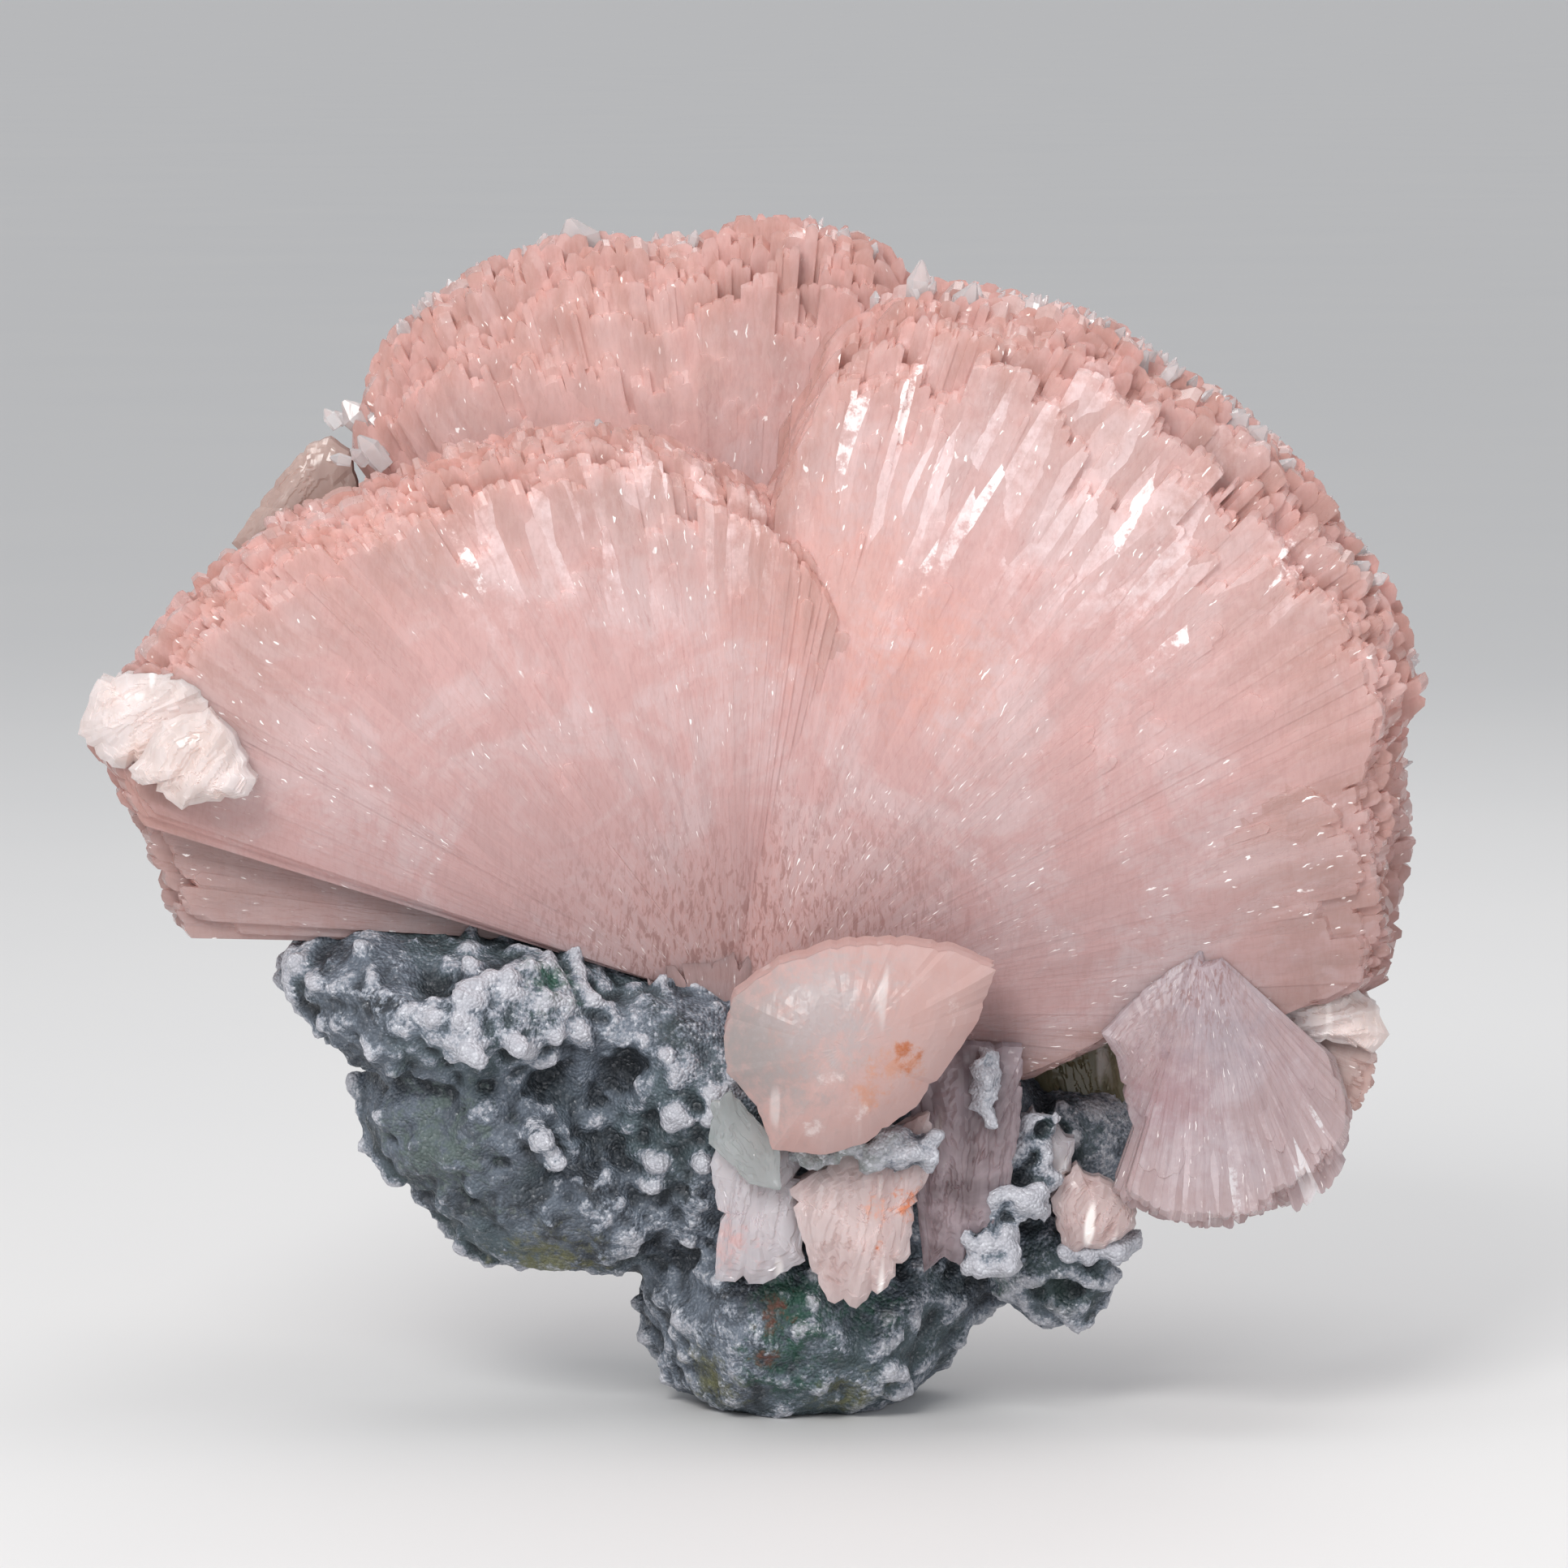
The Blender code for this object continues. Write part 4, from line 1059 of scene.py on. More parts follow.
def grow_knobs(heap, body, surface):
    """Knobs in patches on the front, and in scattered clusters over the whole rock."""
    draw = random.Random("knobs")
    for middle, half, sizes, number, tall in KNOB_PATCHES:
        for _ in range(number // (1)):
            x = middle[0] + half[0] * draw.uniform(-1, 1) * draw.uniform(0.6, 1)
            z = middle[1] + half[1] * draw.uniform(-1, 1) * draw.uniform(0.6, 1)
            place, way = front_of(surface, x, z)
            if place and place.z > BARE_FOOT and not in_pit(x, z):
                size = sizes[0] + (sizes[1] - sizes[0]) * draw.random() ** 1.8
                forward = (way + Vector((0, -0.6, 0))).normalized()
                knob(heap, place, forward, size, tall, draw)
    body.data.calc_loop_triangles()
    faces = [poly for poly in body.data.polygons
             if poly.center.z > BARE_FOOT * MM and poly.normal.y > -0.6]
    areas = np.cumsum([poly.area for poly in faces])
    for _ in range(KNOB_CLUSTERS):
        poly = faces[int(np.searchsorted(areas, draw.uniform(0, areas[-1])))]
        centre, way = poly.center / MM, poly.normal.copy()
        wide, size = draw.uniform(2.0, 6.0), draw.uniform(0.45, 0.95)
        for _ in range(draw.randint(5, 16)):
            aside = Vector((draw.gauss(0, 1), draw.gauss(0, 1), draw.gauss(0, 1))) * wide * 0.5
            aside -= way * aside.dot(way)
            hit, normal, _, _ = surface.find_nearest((centre + aside) * MM)
            if hit is not None and hit.z > BARE_FOOT * MM:
                knob(heap, hit / MM, normal, size * draw.uniform(0.6, 1.4),
                     draw.choice((0.8, 1.0, 1.5)), draw)


def grow_fingers(heap, surface):
    for foot_x, foot_z, tip_x, tip_z, radius, out in ROCK_FINGERS:
        place, _ = front_of(surface, foot_x, foot_z)
        if place:
            tip = Vector((tip_x, place.y - out, tip_z))
            for bead in range(7):
                middle = (place + Vector((0, 1, 0))).lerp(tip, bead / 6)
                wide = radius * (0.85 + 0.25 * (bead % 2) + 0.1 * noise.noise(middle))
                heap.add(*ball(middle, (wide,) * 3))


def grow_druse(heap):
    draw = random.Random("druse")
    for centre, half, sizes, number in DRUSE_PATCHES:
        for _ in range(number):
            aside = Vector(draw.uniform(-1, 1) * h for h in half)
            radius = draw.uniform(*sizes)
            turn = Vector((draw.gauss(0, 0.5), -1, draw.gauss(0, 0.5))).to_track_quat("Z", "Y")
            heap.add(*ball(Vector(centre) + aside, (radius, radius, radius * 1.5), 2, turn))


def rock_pits():
    """Ragged hollows, each made of several overlapping balls."""
    draw = random.Random("pits")
    heap = Heap()
    for centre, radii in ROCK_PITS:
        for _ in range(7):
            aside = Vector(draw.uniform(-0.75, 0.75) * r for r in radii)
            heap.add(*ball(Vector(centre) + aside, [r * draw.uniform(0.4, 0.75) for r in radii]))
    return heap.made("pits")


def crag(place):
    """How far the bare rock stands out at this place: craggy at the foot, smoother above."""
    foot = min(1.0, max(0.0, (CRAG_TOP - place.z) / 8))
    ridges = noise.ridged_multi_fractal(place * 0.11, 0.9, 2.2, 4, 0.9, 2.0) - 1.0
    cells = noise.voronoi(place * 0.28)[0][0]
    return (0.55 + 0.5 * foot) * ridges - (0.4 + 0.9 * foot) * (cells - 0.3)


def pushed(thing, amount):
    """Moves every corner along its normal by amount(place), in millimetres."""
    mesh = thing.data
    ways, places = read(mesh.vertices, "normal"), read(mesh.vertices, "co")
    push = np.array([amount(Vector(place) / MM) for place in places])
    places = places + ways * push[:, None] * MM
    places[:, 2] = np.maximum(places[:, 2], 0.0)
    mesh.vertices.foreach_set("co", places.astype(np.float32).reshape(-1))
    mesh.update()


def joined(name, thing, heap):
    """The object and the heap of closed solids as one mesh, not yet melted together."""
    other = heap.made("knobs")
    form = bmesh.new()
    form.from_mesh(thing.data)
    form.from_mesh(other.data)
    bpy.data.objects.remove(other)
    return object_from(form, name)


def make_rock(name):
    """The basalt with its skin of chalcedony: lumps, breaks, knobs, fingers and pits."""
    lumps = Heap()
    for centre, radii in ROCK_LUMPS:
        lumps.add(*ball(centre, radii, 3))
    body = melted(lumps.made("lumps"), LUMP_VOXEL)
    body = combine(body, [half_space(point, way) for point, way in ROCK_BREAKS], "DIFFERENCE")
    body = combine(body, [melted(rock_pits(), PIT_VOXEL)], "DIFFERENCE")
    body = melted(body, BODY_VOXEL)
    pushed(body, crag)
    surface = surface_of(body)
    heap = Heap()
    grow_knobs(heap, body, surface)
    grow_fingers(heap, surface)
    grow_druse(heap)
    rock = melted(joined(name, body, heap), ROCK_VOXEL * (1))
    bpy.data.objects.remove(body)
    pushed(rock, lambda place: 0.16 * noise.noise(place * 0.9) + 0.16 * noise.noise(place * 1.9))
    mark_rock(rock, surface)
    return rock


def smoothed(places, edges, rounds):
    """The corners' places, each moved to the middle of its neighbours, over and over."""
    both = np.concatenate([edges, edges[:, ::-1]])
    count = np.maximum(1, np.bincount(both[:, 0], minlength=len(places)))
    smooth = places.astype(np.float64)
    for _ in range(rounds):
        smooth = np.stack([
            np.bincount(both[:, 0], weights=smooth[both[:, 1], axis], minlength=len(places)) / count
            for axis in range(3)
        ], axis=1)
    return smooth


def mark_rock(rock, surface):
    """Keeps how far each corner stands out of the bare lumps, and how hollow the rock is there."""
    mesh = rock.data
    places, ways = read(mesh.vertices, "co"), read(mesh.vertices, "normal")
    rise = np.empty(len(places), np.float32)
    for i, place in enumerate(places):
        hit, way, _, far = surface.find_nearest(Vector(place))
        rise[i] = math.copysign(far, (Vector(place) - hit).dot(way)) / MM
    smooth = smoothed(places, read(mesh.edges, "vertices", 2, np.int32), SMOOTHING_ROUNDS)
    relief = ((places - smooth) * ways).sum(axis=1) / MM
    mark(mesh, "rise", rise)
    mark(mesh, "relief", relief)
    for poly in mesh.polygons:
        poly.use_smooth = True


# Materials. Their lengths are in metres, as in the pieces' meshes, and their scales are per metre.

FLOAT, VECTOR = "NodeSocketFloat", "NodeSocketVector"


def place_node(tree, kind, inputs=None, **settings):
    """A node with its settings made and each input either set or linked. Colours are opaque."""
    node = tree.nodes.new(kind)
    for key, value in settings.items():
        setattr(node, key, value)
    for key, value in (inputs or {}).items():
        if isinstance(value, bpy.types.NodeSocket):
            tree.links.new(value, node.inputs[key])
        elif node.inputs[key].type == "RGBA":
            node.inputs[key].default_value = (*value, 1)
        else:
            node.inputs[key].default_value = value
    return node


def maths(tree, kind, one, other=0.0):
    return place_node(tree, "ShaderNodeMath", {0: one, 1: other}, operation=kind).outputs[0]


def plus(tree, one, other):
    return maths(tree, "ADD", one, other)


def minus(tree, one, other):
    return maths(tree, "SUBTRACT", one, other)


def times(tree, one, other):
    return maths(tree, "MULTIPLY", one, other)


def ramp(tree, value, low, high, start=0.0, end=1.0):
    """A smooth step: start where the value is low, and end where it is high."""
    return place_node(tree, "ShaderNodeMapRange",
                      {"Value": value, "From Min": low, "From Max": high,
                       "To Min": start, "To Max": end},
                      interpolation_type="SMOOTHSTEP").outputs["Result"]


def blend(tree, share, one, other, kind="MIX"):
    """The first colour, with a share of the other mixed in."""
    return place_node(tree, "ShaderNodeMix", {0: share, 6: one, 7: other}, data_type="RGBA",
                      blend_type=kind).outputs[2]


def own_place(tree):
    """Where a point of the piece lies."""
    return place_node(tree, "ShaderNodeTexCoord").outputs["Object"]


def noise_at(tree, place, scale, detail, rough=0.5, swirl=0.0):
    """Cloudy values from 0 to 1. rough is how strong their finest detail is."""
    return place_node(tree, "ShaderNodeTexNoise",
                      {"Vector": place, "Scale": scale, "Detail": detail, "Roughness": rough,
                       "Distortion": swirl}).outputs["Fac"]


def cells_at(tree, place, scale):
    """Cells, each with a random colour, and how far a point is from its cell's middle."""
    return place_node(tree, "ShaderNodeTexVoronoi", {"Vector": place, "Scale": scale}).outputs


def stretched(tree, place, scale, turn=(0.0, 0.0, 0.0)):
    """The place turned and scaled, which draws a texture out where the scale is small."""
    return place_node(tree, "ShaderNodeMapping",
                      {"Vector": place, "Rotation": turn, "Scale": scale}).outputs[0]


def channels(tree, colour):
    return place_node(tree, "ShaderNodeSeparateColor", {0: colour}).outputs


def grey_of(tree, value):
    return place_node(tree, "ShaderNodeCombineColor", {0: value, 1: value, 2: value}).outputs[0]


def attribute(tree, name):
    return place_node(tree, "ShaderNodeAttribute", attribute_name=name).outputs["Fac"]


def finish_shader(tree, shader, colour, rough, height, strength, distance):
    """Links a finish's colour, roughness and relief to its shader. distance is in millimetres."""
    relief = place_node(tree, "ShaderNodeBump",
                        {"Height": height, "Strength": strength, "Distance": distance * MM})
    tree.links.new(colour, shader.inputs["Base Color"])
    tree.links.new(rough, shader.inputs["Roughness"])
    tree.links.new(relief.outputs["Normal"], shader.inputs["Normal"])


def new_material(name, **plain):
    """A material with its Principled shader, whose plain values are set here."""
    material = bpy.data.materials.new(name)
    material.use_nodes = True
    tree = material.node_tree
    shader = tree.nodes["Principled BSDF"]
    shader.subsurface_method = "BURLEY"
    for key, value in plain.items():
        shader.inputs[key.replace("_", " ")].default_value = value
    return material, tree, shader


# Effects that several materials share


def new_group(name, inputs, outputs):
    """An empty shader group with the inputs (name, kind, value) and the outputs, all of them values."""
    tree = bpy.data.node_groups.new(name, "ShaderNodeTree")
    for label, kind, value in inputs:
        tree.interface.new_socket(label, in_out="INPUT", socket_type=kind).default_value = value
    for label in outputs:
        tree.interface.new_socket(label, in_out="OUTPUT", socket_type=FLOAT)
    return tree, tree.nodes.new("NodeGroupInput").outputs


def put_out(tree, values):
    """Links the group's outputs, and hands the group back."""
    put = tree.nodes.new("NodeGroupOutput")
    for label, value in values.items():
        tree.links.new(value, put.inputs[label])
    return tree


def fibres_group():
    """Fine hairs that spread from a fan's root, with milky clouds and short glints along them.

    Columns is a shade for each bundle of blades, Mottle short flecks, and Low is painted shade
    that grows downwards over the sheaf's root.
    """
    tree, given = new_group(
        "spreading fibres",
        [("Root X", FLOAT, 0.0), ("Root Z", FLOAT, 0.0), ("Lines", FLOAT, 60.0)],
        ["Fibres", "Streaks", "Clouds", "Glints", "Columns", "Mottle", "Low", "Height"],
    )
    place = own_place(tree)
    parts = place_node(tree, "ShaderNodeSeparateXYZ", {0: place}).outputs
    across = minus(tree, parts[0], given["Root X"])
    up = minus(tree, parts[2], given["Root Z"])
    angle = maths(tree, "ARCTAN2", across, up)
    squares = plus(tree, times(tree, across, across), times(tree, up, up))
    far = times(tree, maths(tree, "SQRT", squares), 1 / MM)
    deep = times(tree, parts[1], 1 / MM)
    clouds = noise_at(tree, place, 95.0, 5.0, 0.7, 0.5)
    wavy = plus(tree, angle, times(tree, clouds, 0.05))

    def lines(crowding, along, depth, detail):
        """Noise drawn out along the blades, with that many lines for one of the group's Lines."""
        spread = place_node(tree, "ShaderNodeCombineXYZ", {
            0: times(tree, wavy, times(tree, given["Lines"], crowding)),
            1: times(tree, far, along),
            2: times(tree, deep, depth)}).outputs[0]
        return noise_at(tree, spread, 1.0, detail, 0.6)

    fine = lines(3.0, 0.5, 0.5, 2.0)
    streaks = lines(0.4, 0.13, 0.15, 3.0)
    specks = lines(3.2, 0.9, 0.8, 0.0)
    mottle = noise_at(tree, stretched(tree, place, (1.0, 0.5, 0.28)), 2600.0, 3.0, 0.65, 0.7)
    bent = times(tree, clouds, 0.8)
    bundles = place_node(tree, "ShaderNodeCombineXYZ", {
        0: plus(tree, times(tree, angle, 38.0), bent),
        1: plus(tree, times(tree, far, 0.13), bent),
        2: times(tree, deep, 0.12)}).outputs[0]
    return put_out(tree, {
        "Fibres": ramp(tree, fine, 0.32, 0.68),
        "Streaks": ramp(tree, streaks, 0.36, 0.66),
        "Clouds": ramp(tree, clouds, 0.38, 0.64),
        "Glints": times(tree, ramp(tree, specks, 0.775, 0.815), ramp(tree, clouds, 0.47, 0.56)),
        "Columns": channels(tree, cells_at(tree, bundles, 1.0)["Color"])[0],
        "Mottle": ramp(tree, mottle, 0.36, 0.62),
        "Low": ramp(tree, parts[2], 0.074, 0.036),
        "Height": plus(tree, times(tree, fine, 0.5), times(tree, streaks, 0.5)),
    })


def haze_group():
    """Clouds, straight cleavage lines and short white streaks inside a clear or milky crystal."""
    tree, given = new_group(
        "crystal haze",
        [("Turn", VECTOR, (0.0, 0.0, 0.0)), ("Lines", FLOAT, 900.0), ("Clouds", FLOAT, 160.0)],
        ["Lines", "Clouds", "Flaws", "Height"],
    )
    place = own_place(tree)
    turned = stretched(tree, place, (1.0, 0.35, 0.12), given["Turn"])
    lines = noise_at(tree, turned, given["Lines"], 3.0, 0.6)
    clouds = noise_at(tree, place, given["Clouds"], 4.0, 0.62, 0.6)
    slanted = stretched(tree, turned, (1.0, 1.0, 1.6), (0.0, 0.5, 0.0))
    return put_out(tree, {
        "Lines": ramp(tree, lines, 0.36, 0.64),
        "Clouds": ramp(tree, clouds, 0.28, 0.74),
        "Flaws": ramp(tree, noise_at(tree, slanted, 420.0, 1.0), 0.66, 0.74),
        "Height": lines,
    })


def stain_group():
    """A ragged spot round a place, such as rust in a crack. Wear is noise for its edge."""
    tree, given = new_group(
        "stain",
        [("Centre", VECTOR, (0.0, 0.0, 0.0)), ("Size", FLOAT, 0.003), ("Ragged", FLOAT, 0.8),
         ("Wear", FLOAT, 0.5)],
        ["Mask"],
    )
    far = place_node(tree, "ShaderNodeVectorMath", {0: own_place(tree), 1: given["Centre"]},
                     operation="DISTANCE").outputs["Value"]
    share = maths(tree, "DIVIDE", far, given["Size"])
    uneven = times(tree, minus(tree, given["Wear"], 0.5), times(tree, given["Ragged"], 4.0))
    return put_out(tree, {"Mask": ramp(tree, plus(tree, share, uneven), 1.1, 0.0)})


def frost_group():
    """Sugary grains of quartz: their height and their sparkle."""
    tree, given = new_group("sugary frost", [("Grain", FLOAT, 2200.0)], ["Height", "Sparkle"])
    grains = cells_at(tree, own_place(tree), given["Grain"])
    shade = channels(tree, grains["Color"])
    return put_out(tree, {
        "Height": minus(tree, shade[1], times(tree, grains["Distance"], 0.9)),
        "Sparkle": ramp(tree, shade[0], 0.72, 0.95),
    })


GROUP_MAKERS = {"fibres": fibres_group, "haze": haze_group, "stain": stain_group,
                "frost": frost_group}
GROUPS = {}
WEAR = "wear"


def use_group(tree, name, **inputs):
    """Places one of the shared groups in a material, and gives its outputs."""
    if name not in GROUPS:
        GROUPS[name] = GROUP_MAKERS[name]()
    named = {key.replace("_", " "): value for key, value in inputs.items()}
    return place_node(tree, "ShaderNodeGroup", named, node_tree=GROUPS[name]).outputs


def wear_of(tree):
    """Fine noise for the edges of stains: one node, which all of a material's stains share."""
    if WEAR not in tree.nodes:
        noise_at(tree, own_place(tree), 750.0, 4.0, 0.7).node.name = WEAR
    return tree.nodes[WEAR].outputs["Fac"]


def spot(tree, centre, size, ragged):
    """The mask of a ragged spot. centre and size are in millimetres."""
    return use_group(tree, "stain", Centre=tuple(c * MM for c in centre), Size=size * MM,
                     Ragged=ragged, Wear=wear_of(tree))["Mask"]


def stained(tree, colour, stains, strength=1.0):
    """The colour with ragged spots of others: (centre, size, shade, how ragged)."""
    for centre, size, shade, ragged in stains:
        share = times(tree, spot(tree, centre, size, ragged), strength)
        colour = blend(tree, share, colour, shade)
    return colour


# The finish of the fans

# painted reflections: a pearly sheen on the blades, and brighter flashes within it
PAINTED_PEARLY_SHEEN = (0.82, 0.68, 0.69)
FLASH = (0.97, 0.92, 0.92)
GLINT = (0.97, 0.93, 0.92)
TIP_SHINE = (0.85, 0.72, 0.70)
DARK_FLECK = (0.34, 0.15, 0.13)
# the colour of the painted shade that darkens the fans low down
PAINTED_LOW_SHADE = (0.64, 0.66, 0.68)
PEACH = (0.64, 0.33, 0.28)

# Warm patches on the sheaf's face: centre, size, colour, how ragged
SHEAF_PATCHES = (
    ((5.0, -16.0, 76.0), 13.0, PEACH, 0.6),
    ((14.0, -16.0, 68.0), 8.0, PEACH, 0.7),
    ((-6.0, -16.0, 93.0), 12.0, PEACH, 0.7),
    ((-27.0, -16.0, 84.0), 10.0, PEACH, 0.7),
    ((-18.0, -4.0, 91.0), 17.0, (0.74, 0.50, 0.475), 0.5),
)

# Where a white sheen like mother of pearl is painted on the blades, as a painted reflection: centre and
# size
PAINTED_SHEEN_PATCHES = (
    ((13.0, -17.0, 86.0), 12.0),
    ((27.0, -18.0, 85.0), 15.0),
    ((-9.0, -20.0, 82.5), 11.0),
    ((-22.0, -18.0, 79.5), 8.0),
    ((38.0, -18.0, 76.0), 10.0),
)


@dataclass(frozen=True)
class FanFinish:
    """The colours of a fan: its haze on its body, the hairs in it, its crest and its root.

    lines is how many hairs there are for a turn of one radian.
    """

    root: tuple
    lines: float
    milky: tuple
    body: tuple
    hairs: tuple
    crest: tuple
    core: tuple
    patches: tuple = ()
    # where a pearly sheen is painted on the blades, as a painted reflection
    sheen_patches: tuple = ()


FAN_FINISHES = {
    "sheaf_pink": FanFinish(
        root=(-3.6, 33.0), lines=70.0, milky=(0.648, 0.468, 0.463), body=(0.607, 0.368, 0.353),
        hairs=(0.56, 0.30, 0.28), crest=(0.465, 0.268, 0.236), core=(0.68, 0.40, 0.365),
        patches=SHEAF_PATCHES, sheen_patches=PAINTED_SHEEN_PATCHES),
    "low_lobe_pink": FanFinish(
        root=LOW_LEFT_ROOT, lines=60.0, milky=(0.56, 0.40, 0.39), body=(0.50, 0.31, 0.29),
        hairs=(0.40, 0.21, 0.20), crest=(0.54, 0.35, 0.32), core=(0.36, 0.22, 0.20)),
    "tuft_brown_pink": FanFinish(
        root=ROOT_TUFT.root, lines=40.0, milky=(0.52, 0.35, 0.34), body=(0.46, 0.27, 0.25),
        hairs=(0.32, 0.16, 0.14), crest=(0.52, 0.31, 0.29), core=(0.25, 0.17, 0.16)),
    "bowtie_pink": FanFinish(
        root=BOWTIE_ROOT, lines=44.0, milky=(0.66, 0.53, 0.55), body=(0.56, 0.40, 0.40),
        hairs=(0.40, 0.23, 0.25), crest=(0.60, 0.44, 0.43), core=(0.46, 0.34, 0.36),
        patches=(((34.5, -18, 30.5), 5.0, (0.46, 0.25, 0.27), 0.7),
                 ((38.5, -18, 36.0), 6.0, (0.42, 0.33, 0.36), 0.6)),
        sheen_patches=(((36.5, -19, 22.0), 7.0), ((46.0, -19, 24.0), 8.0))),
    "small_fan_pink": FanFinish(
        root=SMALL_PINK_ROOT, lines=26.0, milky=(0.78, 0.60, 0.56), body=(0.70, 0.46, 0.41),
        hairs=(0.58, 0.34, 0.30), crest=(0.72, 0.50, 0.45), core=(0.56, 0.38, 0.33)),
}


def paint_sheen(tree, colour, columns, sheen_patches):
    """The colour with patches of painted reflection, where some bundles of blades shine white."""
    for centre, size in sheen_patches:
        mask = spot(tree, centre, size, 0.5)
        share = times(tree, mask, ramp(tree, columns, 0.4, 0.9, 0.1, 0.7))
        colour = blend(tree, share, colour, PAINTED_PEARLY_SHEEN)
        flash = times(tree, ramp(tree, mask, 0.25, 0.6), ramp(tree, columns, 0.93, 0.95))
        colour = blend(tree, times(tree, flash, 0.75), colour, FLASH)
    return colour


def fan_colour(tree, finish, fibres, rim, facet):
    """A fan's colour, where rim grows from 0 at the root to 1 at the crest."""
    colour = blend(tree, ramp(tree, fibres["Clouds"], 0.0, 1.0, 0.0, 0.9), finish.body,
                   finish.milky)
    hairs = times(tree, ramp(tree, fibres["Fibres"], 0.6, 0.0),
                  ramp(tree, fibres["Streaks"], 0.1, 0.9, 0.36, 0.1))
    hairs = times(tree, hairs, ramp(tree, rim, 0.1, 0.5, 0.45, 1.0))
    colour = blend(tree, hairs, colour, finish.hairs)
    colour = stained(tree, colour, finish.patches, 0.55)
    warm = times(tree, ramp(tree, rim, 0.66, 0.95, 0.0, 0.9),
                 ramp(tree, fibres["Streaks"], 0.0, 0.9, 1.0, 0.55))
    colour = blend(tree, warm, colour, finish.crest)
    # painted reflections, in patches on the blades
    colour = paint_sheen(tree, colour, fibres["Columns"], finish.sheen_patches)
    colour = blend(tree, ramp(tree, rim, 0.34, 0.08, 0.0, 0.75), colour, finish.core)
    dark = times(tree, ramp(tree, fibres["Mottle"], 0.5, 0.0), ramp(tree, rim, 0.42, 0.12, 0.1, 0.6))
    colour = blend(tree, dark, colour, DARK_FLECK)
    pale = times(tree, ramp(tree, fibres["Mottle"], 0.6, 1.0), ramp(tree, rim, 0.42, 0.12, 0.06, 0.4))
    colour = blend(tree, pale, colour, finish.milky)
    light = plus(tree, ramp(tree, facet, 0.0, 1.0, 0.97, 1.0),
                 ramp(tree, fibres["Columns"], 0.0, 1.0, -0.02, 0.05))
    colour = blend(tree, 1.0, colour, grey_of(tree, light), "MULTIPLY")
    # painted shade: the fans are darkened towards the bottom
    return blend(tree, fibres["Low"], colour, PAINTED_LOW_SHADE, "MULTIPLY")


def fan_material(name):
    """Blades of a pink fan: hazy rose, fine deeper hairs, a warm crest and a brownish root."""
    finish = FAN_FINISHES[name]
    material, tree, shader = new_material(
        name, Subsurface_Weight=0.6, Subsurface_Radius=(1.0, 0.68, 0.60), Subsurface_Scale=0.0024,
        IOR=1.5, Specular_IOR_Level=0.55)
    fibres = use_group(tree, "fibres", Root_X=finish.root[0] * MM, Root_Z=finish.root[1] * MM,
                       Lines=finish.lines)
    facet = attribute(tree, "facet")
    colour = fan_colour(tree, finish, fibres, attribute(tree, "crest"), facet)
    shine = times(tree, attribute(tree, "tip"), ramp(tree, facet, 0.5, 0.9))
    colour = blend(tree, times(tree, shine, 0.12), colour, TIP_SHINE)
    colour = blend(tree, fibres["Glints"], colour, GLINT)
    rough = plus(tree, ramp(tree, fibres["Fibres"], 0.0, 1.0, 0.26, 0.36), times(tree, facet, 0.12))
    sharp = maths(tree, "MAXIMUM", fibres["Glints"], shine)
    rough = minus(tree, rough, times(tree, sharp, 0.2))
    finish_shader(tree, shader, colour, rough, fibres["Height"], 0.14, 0.3)
    return material


# The finish of the single crystals

FLAW_WHITE = (0.92, 0.88, 0.87)
ORANGE = (0.56, 0.21, 0.11)
RUSTY = (0.50, 0.15, 0.055)
PALE_ORANGE = (0.62, 0.32, 0.24)
PALE = (0.76, 0.62, 0.60)


@dataclass(frozen=True)
class CrystalFinish:
    """A single crystal's tint and its milky haze.

    turn is how its cleavage lines are turned, in degrees, lines how fine they are, and flaws how
    white its short streaks. clear is how much light passes, scatter how far it spreads in metres,
    and core how much of it does.
    """

    tint: tuple
    milk: tuple
    turn: tuple = (0.0, 0.0, 0.0)
    clear: float = 0.0
    stains: tuple = ()
    lines: float = 900.0
    cloudy: float = 0.6
    roughness: tuple = (0.12, 0.35)
    core: float = 0.6
    scatter: float = 0.002
    flaws: float = 0.5


